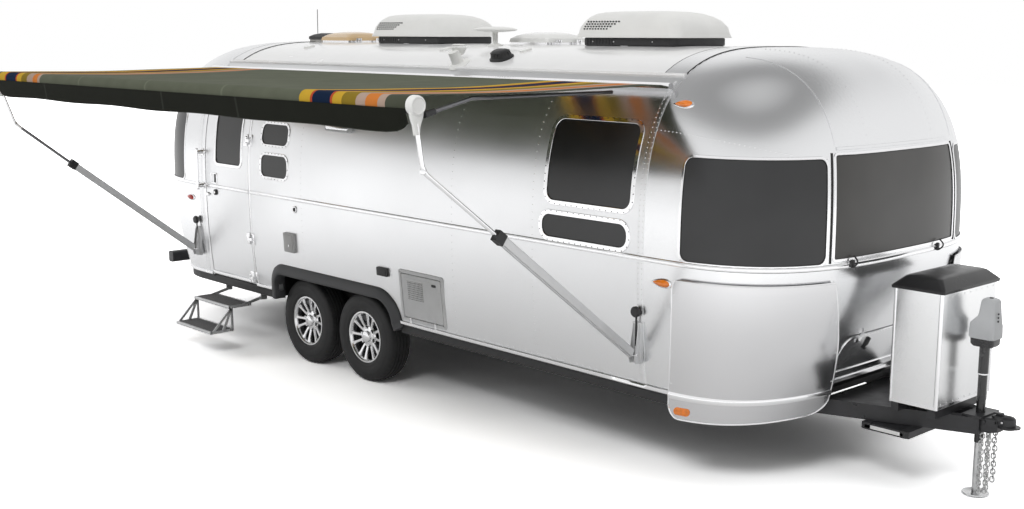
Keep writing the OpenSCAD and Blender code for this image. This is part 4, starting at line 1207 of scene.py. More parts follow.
def guard_point(t, z, off=0.021):
    """Point on the guard, which stands off the skin and tucks in less than it below."""
    u = (BELT - z) / (BELT - SILL)
    a = float(np.interp(t - X_FRONT, NOSE_ARC[0], NOSE_ARC[1]))
    c, s = unit(a)
    return Vector((X_FRONT + (NOSE_DEPTH + off - 0.18 * u * u) * c,
                   Y_MID + (HALF_W + off - 0.046 * u * u) * s, z))


def guard_ends(z):
    """First and last station of the guard at a height, with its corners rounded."""
    t0, t1 = GUARD_T0, X_FRONT + 1.262 + (GUARD_TOP - z) * 0.28
    for edge, r, front in ((GUARD_TOP - z, 0.055, 0), (z - GUARD_LOW, 0.10, 1.8)):
        if edge < r:
            cut = r - math.sqrt(max(0.0, r * r - (r - edge) ** 2))
            t0, t1 = t0 + cut, t1 - cut * front
    return t0, t1


def guard_rows():
    zs = [GUARD_LOW + 0.1 * (1 - math.cos(math.pi / 2 * k / 8)) for k in range(9)]
    zs += [0.535 + (1.251 - 0.535) * k / 14 for k in range(1, 15)]
    zs += [GUARD_TOP - 0.055 * (1 - math.sin(math.pi / 2 * k / 6)) for k in range(1, 7)]
    return zs


class CARAVAN_OT_guards(bpy.types.Operator):
    """Build the polished stone guards over the lower front corners"""
    bl_idname = "caravan.guards"
    bl_label = "Stone Guards"

    def execute(self, context):
        sheet, beads, lens, spots = bmesh.new(), bmesh.new(), bmesh.new(), []
        zs = guard_rows()
        n = 34
        for road in (False, True):
            def at(i, j, road=road):
                t0, t1 = guard_ends(zs[j])
                p = guard_point(t0 + (t1 - t0) * i / n, zs[j])
                return other_side(p) if road else p
            grid(n, len(zs) - 1, at, sheet, flip=road)
            top = len(zs) - 1
            edge = [at(0, j) for j in range(top)] + [at(i, top) for i in range(n)]
            edge += [at(n, j) for j in range(top, 0, -1)] + [at(i, 0) for i in range(n, 0, -1)]
            spaced = [p for k, p in enumerate(edge) if (p - edge[k - 1]).length > 0.004]
            tube(spaced, 0.006, 8, beads, closed=True)
            t0, t1 = guard_ends(BAND_Z)
            path, sides = [], []
            for k in range(n + 1):
                t = t0 + (t1 - t0) * k / n
                p, q = guard_point(t, BAND_Z), guard_point(t + 0.01, BAND_Z)
                out = (q - p).normalized().cross(UP)
                path.append(other_side(p) if road else p)
                sides.append((UP, flipped(out) if road else out))
            sweep(path, sides, [(-0.021, -0.002), (-0.021, 0.004), (-0.012, 0.008),
                                (0.0, 0.0095), (0.012, 0.008), (0.021, 0.004),
                                (0.021, -0.002)], bm=beads)
            t = GUARD_T0 + 0.122
            p, q = guard_point(t, 0.49), guard_point(t + 0.01, 0.49)
            along = (q - p).normalized()
            upward = (guard_point(t, 0.50) - p).normalized()
            m = Matrix((along, upward, along.cross(upward))).transposed().to_4x4()
            m.translation = p
            merge(lens, plate(0.108, 0.05, 0.009, 0.022, 0.004), crossed(m) if road else m)
            for z in (0.66, 0.86, 1.06, 1.22):
                t0, t1 = guard_ends(z)
                for t in (t0 + 0.018, t1 - 0.018):
                    p, nrm = guard_point(t, z, 0.022), skin_normal(t, v_at(z))
                    spots.append((other_side(p), flipped(nrm)) if road else (p, nrm))
        guard = add("Stone_Guards", sheet, guard_alloy(), normals=False)
        solidify(guard, 0.003, 0.0)
        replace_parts(guard, "rock_guards")
        add("Guard_Beads", beads, bright_alloy())
        add("Guard_Reflectors", lens, amber_lens())
        scatter("Guard_Rivets", dome(0.006, 0.004, 8), spots, bright_alloy())
        return {"FINISHED"}


# ---- lamps ------------------------------------------------------------------


class CARAVAN_OT_lamps(bpy.types.Operator):
    """Build the teardrop marker lamps and the rear lamps"""
    bl_idname = "caravan.lamps"
    bl_label = "Lamps"

    def execute(self, context):
        bezel, amber, red, clear = (bmesh.new() for _ in range(4))
        for road in (False, True):
            for t, z, lens in ((X_FRONT + 0.157, 1.268, amber), (X_FRONT + 0.16, 2.325, amber),
                               (X_REAR - 0.19, 1.262, red)):
                place = on_skin(t, z, 0.0, road)
                merge(bezel, teardrop(0.160, 0.078, 0.014), place)
                merge(lens, teardrop(0.136, 0.062, 0.036), place)
            for z, lens, r in ((1.1, red, 0.058), (0.93, amber, 0.05), (0.78, clear, 0.05)):
                place = on_skin(t_tail(0.86 if road else -0.86), z)
                merge(bezel, disc((0, 0, -0.004), UP, r + 0.012, 0.014, 28, bevel=0.004),
                      place)
                merge(lens, disc((0, 0, 0), UP, r, 0.026, 28, top=r * 0.9, bevel=0.006), place)
            place = on_skin(t_tail(0.62) if road else t_tail(-0.62), 2.32)
            merge(bezel, teardrop(0.13, 0.05, 0.011), place)
            merge(red, teardrop(0.11, 0.038, 0.026), place)
        add("Lamp_Bezels", bezel, bright_alloy())
        lens = add("Amber_Lamps", amber, amber_lens())
        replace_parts(lens, "marker_lights")
        add("Red_Lamps", red, red_lens())
        add("Reverse_Lamps", clear, white_plastic())
        return {"FINISHED"}


# ---- entry door -------------------------------------------------------------

DOOR_LOW = SILL + 0.012
DOOR_GAP = 0.006
HINGE_ZS = (0.65, 0.99, 1.836)
DOOR_WINDOW = Window(bx(-1.6) - 0.013, bx(-1.165) + 0.013, 1.582, 2.103, 0.068, 0.026, "side",
                     "both")
JAMB_PROFILE = [(0, -0.02), (0, 0.002), (0.004, 0.004), (0.02, 0.0035), (0.022, -0.003)]


def make_doorway():
    """Trim and seal round the opening, and the fixed hinge leaves."""
    jamb, seal = bmesh.new(), bmesh.new()
    left, right, top = DOOR_X0 - 0.001, DOOR_X1 + 0.001, DOOR_TOP + 0.001
    low = SILL + 0.002
    for x, side in ((left, -1), (right, 1)):
        vs = [v_at(low + (top - low) * k / 24) for k in range(25)]
        path = [skin(x, v) for v in vs]
        sides = [(FORWARD * side, skin_normal(x, v)) for v in vs]
        sweep(path, sides, JAMB_PROFILE, bm=jamb)
        sweep([p - s[1] * 0.02 for p, s in zip(path, sides)], sides,
              ring(6, 0.0035), bm=seal)
    v = v_at(top)
    path = [skin(left + (right - left) * k / 8, v) for k in range(9)]
    up = skin(left, v + 0.01) - skin(left, v)
    sweep(path, [(up.normalized(), skin_normal(left, v))] * 9, JAMB_PROFILE, bm=jamb)
    for z in HINGE_ZS:
        merge(jamb, plate(0.04, 0.1, 0.009, 0.006, 0.002, -0.001),
              on_skin(DOOR_X1 + 0.03, z))
    add("Doorway_Trim", jamb, bright_alloy())
    add("Doorway_Seal", seal, black_seal())
    reface("hinge_mounts", bright_alloy())


def make_handle():
    """The grab rail beside the door."""
    bm = bmesh.new()
    x, radius = middle("grab_handle").x, 0.0125
    y = box("grab_handle")[0].y + radius
    low, high, past = 1.39, 1.69, 0.03
    tube([(x, y, low - past + (high - low + 2 * past) * k / 10) for k in range(11)],
         radius, 16, bm)
    for z, end in ((low, -0.034), (high, 0.022)):
        foot, grip = on_skin(x, z), Vector((x, y, z))
        post = foot.translation - grip
        merge(bm, plate(0.05, 0.062, 0.008, 0.02, 0.003, -0.004), foot)
        disc(grip, post, 0.015, post.length, 18, bm, top=0.021, bevel=0.002)
        disc((x, y, z + end), UP, 0.0155, 0.012, 18, bm, bevel=0.003)
    rail = add("Grab_Rail", bm, bright_alloy())
    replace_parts(rail, "grab_handle")


class CARAVAN_OT_door(bpy.types.Operator):
    """Build the entry door with its window, seals, hinges, lock and handle"""
    bl_idname = "caravan.door"
    bl_label = "Entry Door"

    def execute(self, context):
        w = DOOR_WINDOW
        hole = hole_of(w)
        x0, x1 = DOOR_X0 + DOOR_GAP, DOOR_X1 - DOOR_GAP
        z1 = DOOR_TOP - DOOR_GAP
        ts = lines(x0, x1, 0.2, marks([hole], 0))
        vs = lines(v_at(DOOR_LOW), v_at(z1), 0.07, marks([hole], 2))
        slab = add("Door_Skin", patch(ts, vs, skin, [hole]), [wall_alloy(), dark_inside()],
                   "entry_door", normals=False)
        solidify(slab, 0.044, lining=1)
        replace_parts(slab, "entry_door", "door_window")
        pane = add("Door_Pane", pane_patch(w, False), side_glass(), "entry_door",
                   normals=False)
        solidify(pane, 0.005)
        trim = bmesh.new()
        frame_ring(trim, inset_outline(w, 0, 7), w.band, 0.005)
        trim_run(trim, skin_path(x0 + 0.004, x1 - 0.004, BELT, 0.2), BELT_PROFILE)
        trim_run(trim, skin_path(x0 + 0.004, x1 - 0.03, SILL + 0.035, 0.2), RUB_PROFILE)
        spots = frame_rivets(w, False)
        for z in HINGE_ZS:
            place = on_skin(x1 - 0.036, z)
            merge(trim, plate(0.06, 0.1, 0.008, 0.008, 0.002, -0.001), place)
            spots += [(place @ Vector((x, y, 0.008)), place.to_3x3() @ UP)
                      for x in (-0.018, 0.012) for y in (-0.032, 0.0, 0.032)]
            for low in (-0.039, 0.014):
                disc((DOOR_X1, Y_MID - HALF_W - 0.010, z + low), UP, 0.009, 0.025, 16, trim,
                     bevel=0.002)
        place = on_skin(bx(-1.622), 1.469)
        merge(trim, frame_plate(0.1, 0.094, 0.01, 0.006, 0.012), place)
        add("Door_Trim", trim, bright_alloy(), "entry_door")
        scatter("Door_Rivets", dome(0.0032, 0.0022, 6), spots, bright_alloy(),
                        "entry_door")
        dark = bmesh.new()
        merge(dark, plate(0.03, 0.074, 0.0035, 0.004, 0.001), place @ shift(0.02, 0, 0))
        place = on_skin(bx(-1.6), 1.346)
        merge(dark, disc((0, 0, 0), UP, 0.026, 0.012, 28, bevel=0.003), place)
        frame_ring(dark, inset_outline(w, w.band - 0.001, 6), 0.007, 0.003)
        add("Door_Lock", dark, black_plastic(), "entry_door")
        chrome = bmesh.new()
        merge(chrome, disc((0, 0, 0.008), UP, 0.012, 0.009, 20, bevel=0.002), place)
        for x, r, rise in ((-1.735, 0.018, 0.012), (-1.705, 0.008, 0.014)):
            merge(chrome, disc((0, 0, 0), UP, r, rise, 20, bevel=0.003), on_skin(bx(x), 1.318))
        add("Door_Key", chrome, bright_alloy(), "entry_door")
        make_doorway()
        make_handle()
        return {"FINISHED"}


# ---- flaps and side fittings ------------------------------------------------


def make_heater():
    x0, x1, z0, z1 = HEATER
    gap = 0.006
    w, h = x1 - x0 - 2 * gap, z1 - z0 - 2 * gap
    grey = finish("Heater_Door_Paint", (0.68, 0.685, 0.69), 0.42, vary=0.05, scale=8.0)
    place = on_skin((x0 + x1) / 2, (z0 + z1) / 2)
    bm = bmesh.new()
    merge(bm, plate(w, h, 0.004, 0.012, 0.0025, -0.012), place)
    for k in range(9):
        merge(bm, block((-0.09, -0.003, 0.0035), (0.09, 0.004, 0.0095), bevel=0.0015),
              place @ shift(-0.07, 0.115 - 0.016 * k, 0))
    merge(bm, plate(w - 0.05, h - 0.05, 0.0065, 0.02, 0.002, 0.003),
          place @ shift(0, 0, -0.0015))
    door = add("Heater_Flap", bm, grey, "heater_door")
    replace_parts(door, "heater_door")
    dark = bmesh.new()
    for k in range(9):
        merge(dark, block((-0.088, -0.0035, 0.004), (0.088, -0.0005, 0.0058)),
              place @ shift(-0.07, 0.1115 - 0.016 * k, 0))
    merge(dark, plate(0.05, 0.02, 0.0075, 0.008, 0.001, 0.003),
          place @ shift(0.15, 0.12, 0))
    add("Heater_Louvre_Gaps", dark, black_plastic(), "heater_door")
    surround = bmesh.new()
    merge(surround, frame_plate(x1 - x0 + 0.05, z1 - z0 + 0.05, 0.026, 0.005, 0.02), place)
    add("Heater_Surround", surround, grey)


def make_hatch():
    t0, t1 = t_nose(-HATCH_HALF), t_nose(HATCH_HALF)
    sheet = patch(lines(t0, t1, 0.05), lines(v_at(HATCH_Z0), v_at(HATCH_Z1), 0.1),
                  lambda t, v: skin(t, v, 0.001))
    flap = add("Front_Hatch_Skin", sheet, cap_alloy(), "front_hatch", normals=False)
    solidify(flap, 0.014)
    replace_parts(flap, "front_hatch")
    rim = bmesh.new()
    frame_ring(rim, outline_rect(t0 + 0.002, t1 - 0.002, HATCH_Z0 + 0.002,
                                 HATCH_Z1 - 0.002, 0.1, 7, 0.06), 0.022, 0.007)
    for y in (-0.3, 0.3):
        merge(rim, plate(0.06, 0.05, 0.006, 0.008, 0.002),
              on_skin(t_nose(y), HATCH_Z1 - 0.03))
    out = outline_rect(t0 + 0.014, t1 - 0.014, HATCH_Z0 + 0.014, HATCH_Z1 - 0.014, 0.09, 6,
                       0.04)
    spots = spots_along([(t, v_at(z)) for t, z in out + out[:1]], 0.035, 0.007)
    add("Hatch_Rim", rim, bright_alloy(), "front_hatch")
    scatter("Hatch_Rivets", dome(0.0035, 0.0025, 6), spots, bright_alloy(),
                    "front_hatch")
    latch = bmesh.new()
    place = on_skin(t_nose(-0.18), 0.845)
    merge(latch, plate(0.036, 0.085, 0.011, 0.012, 0.003), place)
    add("Hatch_Latch", latch, black_plastic(), "front_hatch")
    knob = bmesh.new()
    merge(knob, disc((0, -0.018, 0.010), UP, 0.009, 0.006, 18, bevel=0.0015), place)
    add("Hatch_Key", knob, bright_alloy(), "front_hatch")


def make_side_things():
    grey, dark, chrome = bmesh.new(), bmesh.new(), bmesh.new()
    place = on_skin(bx(-0.445), 1.031)
    merge(grey, plate(0.15, 0.162, 0.022, 0.012, 0.004), place)
    merge(grey, plate(0.12, 0.13, 0.026, 0.01, 0.002, 0.02), place)
    merge(chrome, disc((0.01, -0.02, 0.026), UP, 0.008, 0.004, 16), place)
    place = on_skin(bx(0.801), 0.9585)
    merge(dark, plate(0.132, 0.067, 0.018, 0.01, 0.004), place)
    merge(dark, plate(0.1, 0.04, 0.021, 0.008, 0.002, 0.017), place)
    place = on_skin(bx(-0.357), 1.316)
    merge(chrome, disc((0, 0, 0), UP, 0.03, 0.008, 28, bevel=0.003), place)
    merge(dark, disc((0.005, 0, 0.006), UP, 0.017, 0.006, 20, bevel=0.002), place)
    place = on_skin(bx(0.2375), 2.012)
    merge(grey, plate(0.335, 0.075, 0.034, 0.03, 0.01), place)
    merge(chrome, plate(0.3, 0.045, 0.037, 0.02, 0.004, 0.03), place)
    for y in (-0.55, 0.41):
        place = on_skin(t_nose(y), 1.404)
        merge(dark, plate(0.03, 0.05, 0.012, 0.01, 0.003), place)
        merge(dark, tube([(0, -0.02 + 0.01 * k, 0.012 + 0.03 * math.sin(math.pi * k / 7))
                          for k in range(8)], 0.005, 8), place)
    pieces = [add("Side_Covers", grey, finish("Cover_Grey", (0.52, 0.52, 0.52), 0.45,
                                              vary=0.05)),
              add("Side_Black_Fittings", dark, black_plastic()),
              add("Side_Chrome_Fittings", chrome, bright_alloy())]
    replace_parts(pieces[0], "side_fittings")


class CARAVAN_OT_flaps(bpy.types.Operator):
    """Build the water heater door, the front hatch and the side fittings"""
    bl_idname = "caravan.flaps"
    bl_label = "Flaps And Side Fittings"

    def execute(self, context):
        make_heater()
        make_hatch()
        make_side_things()
        return {"FINISHED"}


# ---- lofted shapes ----------------------------------------------------------


def loft(rows, bm=None, n=6):
    """Skins a stack of rounded rectangles: (z, x0, x1, y0, y1, corner)."""
    own = bm if bm is not None else bmesh.new()
    outlines = []
    for z, x0, x1, y0, y1, r in rows:
        r = min(r, (x1 - x0) / 2 - 1e-4, (y1 - y0) / 2 - 1e-4)
        outlines.append([Vector((x + (x0 + x1) / 2, y + (y0 + y1) / 2, z))
                         for x, y in round_rect(x1 - x0, y1 - y0, r, n)])
    count = len(outlines[0])
    before = set(own.verts)
    grid(count, len(rows) - 1, lambda i, j: outlines[j][i % count], own)
    close_ends(own, before)
    return own


def hollow(rows, t):
    """A lofted tub, open at the top, with a wall inside it."""
    inner = [(z + (t if k == 0 else 0), x0 + t, x1 - t, y0 + t, y1 - t, max(r - t, 0.002))
             for k, (z, x0, x1, y0, y1, r) in enumerate(rows)]
    return loft(rows + inner[::-1])


# ---- wheels -----------------------------------------------------------------


def tyre_profile(half, rad):
    """Outer half section from one bead to the other as (radius, station)."""
    wall = [(-0.093, 0.209), (-0.100, 0.214), (-0.104, 0.224), (-0.1065, 0.232),
            (-0.106, 0.236), (-0.1105, 0.250), (-0.112, 0.268), (-0.1115, 0.288),
            (-0.1085, 0.306), (-0.106, 0.310), (-0.1055, 0.316), (-0.101, 0.328),
            (-0.094, 0.3405), (-0.086, 0.3485)]
    k = half / 0.112
    rows = [(h * k, r) for h, r in wall]
    tread = []
    groove = sizes().groove
    for g in (-0.046, -0.0155, 0.0155, 0.046):
        for d, cut in ((-0.0065, 0), (-0.004, groove), (0.004, groove), (0.0065, 0)):
            h = g + d
            tread.append((h * k, rad - 0.006 * (h / 0.08) ** 2 - cut))
    tread = [(-0.076 * k, rad - 0.0065)] + tread + [(0.076 * k, rad - 0.0065)]
    rows += tread + [(-h, r) for h, r in reversed(rows)]
    return [(r, h) for h, r in rows]


def tyre_rubber():
    return finish("Tyre_Rubber", (0.016, 0.016, 0.0165), 0.62, vary=0.3, scale=14.0,
                  spread=0.08, bump_strength=0.25, fine=240.0)


def wheel_alloy():
    return aluminium_sheet("Wheel_Alloy", (0.86, 0.86, 0.87), 0.2, (5, 5, 5), 0.001, 0.03)


def make_tyre(name, body):
    mid = middle(name)
    low, high = box(name)
    rad, half = (high.z - low.z) / 2, (high.y - low.y) / 2
    out = Vector((0, -1 if mid.y < Y_MID else 1, 0))
    turn = out.to_track_quat("Z", "Y")
    rows = tyre_profile(half, rad)
    steps = 192
    ridge = {j for j, (r, h) in enumerate(rows) if 0.05 < abs(h) < 0.088 and r > rad - 0.012}

    def place(i, j):
        r, h = rows[j]
        if j in ridge and i % 4 == 0:
            r -= 0.0045
        elif r > rad - 0.003 and i % 6 == 0:
            r -= 0.003
        a = 2 * math.pi * (i % steps) / steps
        return mid + turn @ Vector((r * math.cos(a), r * math.sin(a), h))

    bm = grid(steps, len(rows) - 1, place)
    inner = [(0.209, 0.093), (0.2, 0.08), (0.2, -0.08), (0.209, -0.093)]
    lathe(inner, mid, out, 96, bm)
    tyre = add(name.replace("tyre", "Tyre"), bm, tyre_rubber(), body, angle=50)
    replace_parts(tyre, name)


def spoke(side, turn, bm):
    """One of a pair of bowed spokes, in the wheel's own axes."""
    rows = [(0.05, 0.011, 0.024, 0.056), (0.075, 0.018, 0.025, 0.061),
            (0.10, 0.024, 0.0235, 0.067), (0.125, 0.029, 0.023, 0.072),
            (0.15, 0.034, 0.025, 0.076), (0.172, 0.040, 0.032, 0.080),
            (0.190, 0.048, 0.048, 0.083)]
    spin = Matrix.Rotation(turn, 3, "Z")
    sect = [(-0.5, -1.0), (-0.5, -0.25), (-0.38, 0.0), (0.38, 0.0), (0.5, -0.25), (0.5, -1.0)]

    def place(i, j):
        r, t, w, z = rows[i]
        p, q = sect[j % len(sect)]
        return spin @ Vector((r, side * t + p * w, z + q * 0.026))

    before = set(bm.verts)
    grid(len(rows) - 1, len(sect), place, bm)
    close_ends(bm, before)


def make_rim(name, body):
    mid = middle(name.replace("rim", "tyre"))
    out = Vector((0, -1 if mid.y < Y_MID else 1, 0))
    place = Matrix.Translation(mid) @ out.to_track_quat("Z", "Y").to_matrix().to_4x4()
    bm, dark = bmesh.new(), bmesh.new()
    lathe([(0.184, 0.066), (0.1875, 0.084), (0.195, 0.0945), (0.206, 0.0945), (0.2085, 0.090),
           (0.2, 0.083), (0.198, -0.083), (0.2085, -0.090), (0.206, -0.0945),
           (0.192, -0.0945), (0.186, -0.085)], (0, 0, 0), UP, 96, bm, close=True)
    for k in range(6):
        for side in (-1, 1):
            spoke(side, math.radians(60 * k + 12), bm)
    lathe([(0.0, 0.04), (0.092, 0.040), (0.092, 0.052), (0.086, 0.060), (0.058, 0.063),
           (0.048, 0.066), (0.047, 0.080), (0.043, 0.087), (0.03, 0.0925), (0.014, 0.0945),
           (0.0, 0.095)], (0, 0, 0), UP, 48, bm)
    for k in range(6):
        a = math.radians(60 * k + 42)
        c = Vector((0.07 * math.cos(a), 0.07 * math.sin(a), 0.056))
        disc(c, UP, 0.0095, 0.022, 6, bm, bevel=0.002)
        disc(c, UP, 0.0165, 0.0062, 24, dark)
    lathe([(0.0, -0.056), (0.14, -0.056), (0.14, 0.010), (0.06, 0.02), (0.0, 0.02)],
          (0, 0, 0), UP, 48, dark)
    # Painted shade: a dark sleeve laid on the inside of the bright alloy barrel, which is only
    # shaded there
    lathe([(0.186, -0.085), (0.1855, 0.055)], (0, 0, 0), UP, 64, dark)
    for shape in (bm, dark):
        bmesh.ops.transform(shape, matrix=place, verts=shape.verts)
    rim = add(name.replace("rim", "Rim"), bm, wheel_alloy(), body)
    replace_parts(rim, name)
    # The hub piece also carries the barrel's painted shade
    add(name.replace("rim", "Hub_And_Barrel_Shade"), dark, black_plastic(), body)


class CARAVAN_OT_wheels(bpy.types.Operator):
    """Build the four tyres and their twin-spoke rims"""
    bl_idname = "caravan.wheels"
    bl_label = "Wheels"

    def execute(self, context):
        for spot in ("curb_front", "curb_rear", "road_front", "road_rear"):
            make_tyre("tyre_" + spot, "wheel_" + spot)
            make_rim("rim_" + spot, "wheel_" + spot)
        reface("axles", black_paint())
        return {"FINISHED"}


# ---- tongue -----------------------------------------------------------------


def chain(bm, x, y, top, low):
    """Links hung one in the next."""
    link = sizes().link
    wire_r, wide = link * 0.125, link * 0.33
    pitch = link - 2.6 * wire_r
    count = int((top - low) / pitch)
    half = link / 2 - wide
    pts = [(wide * math.cos(a), end + wide * math.sin(a)) for end, start in ((half, 0), (-half, 1))
           for a in (math.pi * (start + i / 5) for i in range(6))]
    for k in range(count):
        z = top - link / 2 - pitch * k
        tilt = math.radians((90 if k % 2 else 0) + 22)
        sway = 0.003 * math.sin(k * 1.9 + y * 40)
        path = [Vector((x + sway + p * math.cos(tilt), y + p * math.sin(tilt), z + q))
                for p, q in pts]
        tube(path, wire_r, 6, bm, closed=True)


def make_deck():
    """A plate between the beams and the tray with its pale strip under them."""
    low, high = box("tongue_beams")
    hitch, locker = box("coupler")[0].x, box("tongue_box")[0].x
    top = high.z - 0.012
    bm = bmesh.new()
    (xa, ya), (xb, yb) = ((x, (high.y - Y_MID) * (hitch + 0.1 - x) / (hitch + 0.1 - low.x))
                          for x in (X_FRONT + NOSE_DEPTH - 0.30, locker + 0.02))
    corners = [(xa, -ya), (xb, -yb), (xb, yb), (xa, ya)]
    face = bm.faces.new([bm.verts.new((x, Y_MID + y, top)) for x, y in corners])
    made = bmesh.ops.extrude_face_region(bm, geom=[face])["geom"]
    bmesh.ops.translate(bm, vec=(0, 0, -0.006),
                        verts=[v for v in made if isinstance(v, bmesh.types.BMVert)])
    a, b = box("tongue_brackets")
    block((a.x + 0.004, a.y + 0.004, a.z - 0.004), (a.x + 0.3, b.y - 0.004, a.z + 0.038),
          bm, 0.002)
    add("Tongue_Deck", bm, black_paint())
    strip = bmesh.new()
    block((a.x + 0.02, a.y, a.z + 0.006), (a.x + 0.28, a.y + 0.006, a.z + 0.028),
          strip, 0.001)
    pale = finish("Pale_Strip", (0.75, 0.75, 0.74), 0.4, vary=0.04, scale=30.0)
    add("Tray_Strip", strip, pale)


def make_coupler():
    low, high = box("coupler")
    top = high.z - 0.022
    back, tip = low.x, high.x
    ball = tip - 0.075
    y = Y_MID
    bm = loft([(0, -0.046, 0.046, -0.075, 0.075, 0.012),
               (0.05, -0.046, 0.046, -0.07, 0.07, 0.014),
               (0.09, -0.044, 0.040, -0.042, 0.042, 0.016)])
    turn = Matrix.Translation((back, y, top - 0.052)) @ Matrix.Rotation(math.pi / 2, 4, "Y")
    bmesh.ops.transform(bm, matrix=turn, verts=bm.verts)
    body = bmesh.new()
    lathe([(0.031, -0.062), (0.046, -0.062), (0.047, -0.02), (0.045, -0.002),
           (0.036, 0.008), (0.02, 0.0135), (0.0, 0.015)], (ball, y, top - 0.002),
          UP, 40, body)
    lathe([(0.031, -0.062), (0.031, -0.02), (0.0, -0.012)], (ball, y, top - 0.002),
          UP, 40, body)
    loft([(top - 0.054, ball - 0.055, tip, y - 0.052, y + 0.052, 0.05),
          (top - 0.046, ball - 0.055, tip, y - 0.052, y + 0.052, 0.05)], body)
    for s in (-1, 1):
        block((back + 0.06, y + s * 0.036 - 0.005, top - 0.05),
              (ball - 0.01, y + s * 0.036 + 0.005, top + 0.002), body, 0.003)
    block((back + 0.045, y - 0.036, top - 0.004), (ball - 0.01, y + 0.036, top + 0.006),
          body, 0.003)
    block((ball - 0.07, y - 0.012, top + 0.004), (ball + 0.02, y + 0.012, top + 0.014),
          body, 0.003)
    block((ball - 0.085, y - 0.016, top + 0.012), (ball - 0.03, y + 0.016, top + 0.022),
          body, 0.003)
    for x in (back + 0.02, back + 0.075, ball - 0.05):
        for s in (-1, 1):
            r = 0.074 if x < back + 0.03 else 0.040
            disc((x, y + s * r, top - 0.03), (0, s, 0), 0.012, 0.012, 6, body, bevel=0.002)
    merge(bm, body)
    shell = add("Coupler_Body", bm, black_paint())
    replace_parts(shell, "coupler")
    steel = bmesh.new()
    disc((ball - 0.01, y - 0.055, top - 0.02), (0, 1, 0), 0.006, 0.11, 14, steel)
    disc((ball - 0.045, y, top + 0.006), UP, 0.008, 0.014, 12, steel)
    add("Coupler_Pins", steel, bright_alloy())


def make_jack():
    x, y = middle("jack_post").x, Y_MID
    low, high = box("jack_post")
    bm = bmesh.new()
    lathe([(0.0225, low.z), (0.0265, low.z), (0.0265, high.z - 0.17),
           (0.030, high.z - 0.168), (0.030, high.z + 0.004), (0.0, high.z + 0.004)],
          (x, y, 0), UP, 36, bm)
    loft([(high.z, x - 0.058, x + 0.060, y - 0.05, y + 0.05, 0.02),
          (high.z + 0.012, x - 0.072, x + 0.072, y - 0.054, y + 0.054, 0.02),
          (high.z + 0.050, x - 0.074, x + 0.074, y - 0.056, y + 0.056, 0.02)], bm)
    post = add("Jack_Post", bm, finish("Jack_Black", (0.02, 0.02, 0.021), 0.22,
                                       vary=0.15, coat_weight=0.4))
    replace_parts(post, "jack_post")
    shiny = bmesh.new()
    lathe([(0.0, high.z - 0.174), (0.0305, high.z - 0.174), (0.0305, high.z - 0.166),
           (0.0, high.z - 0.166)], (x, y, 0), UP, 32, shiny)
    add("Jack_Ring", shiny, bright_alloy())
    z = box("jack_head")[0].z
    rows = [(0.048, 0.150, 0.118, 0.02, 0), (0.056, 0.164, 0.126, 0.02, 0),
            (0.128, 0.160, 0.124, 0.02, 0), (0.138, 0.156, 0.122, 0.02, 0.001),
            (0.182, 0.108, 0.112, 0.018, -0.018), (0.196, 0.102, 0.108, 0.018, -0.02),
            (0.272, 0.090, 0.094, 0.018, -0.022), (0.284, 0.080, 0.084, 0.02, -0.022),
            (0.290, 0.060, 0.066, 0.02, -0.022)]
    head = loft([(z + h, x - w / 2 - s, x + w / 2 - s, y - d / 2, y + d / 2, r)
                 for h, w, d, r, s in rows], n=8)
    grey = finish("Jack_Cover", (0.5, 0.51, 0.52), 0.4, vary=0.04, scale=9.0, fine=500.0)
    cover = add("Jack_Cover", head, grey, angle=40)
    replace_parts(cover, "jack_head")
    knobs = bmesh.new()
    for k in range(3):
        disc((x + 0.075, y - 0.012, z + 0.160 + 0.022 * k), (1, 0, 0), 0.006, 0.006, 14,
             knobs, bevel=0.0015)
    disc((x + 0.022, y, z + 0.286), UP, 0.012, 0.008, 18, knobs, bevel=0.002)
    add("Jack_Switches", knobs, black_plastic())
    foot = bmesh.new()
    lathe([(0.0, 0.010), (0.056, 0.010), (0.074, 0.018), (0.078, 0.018), (0.080, 0.012),
           (0.066, 0.0), (0.0, 0.0)], (x, y, 0), UP, 40, foot)
    lathe([(0.022, 0.01), (0.022, low.z + 0.05), (0.0, low.z + 0.05)], (x, y, 0),
          UP, 32, foot)
    zinc = finish("Zinc_Leg", (0.68, 0.685, 0.69), 0.3, 1.0, vary=0.14, scale=30.0,
                  spread=0.1)
    leg = add("Jack_Leg", foot, zinc)
    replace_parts(leg, "jack_leg")


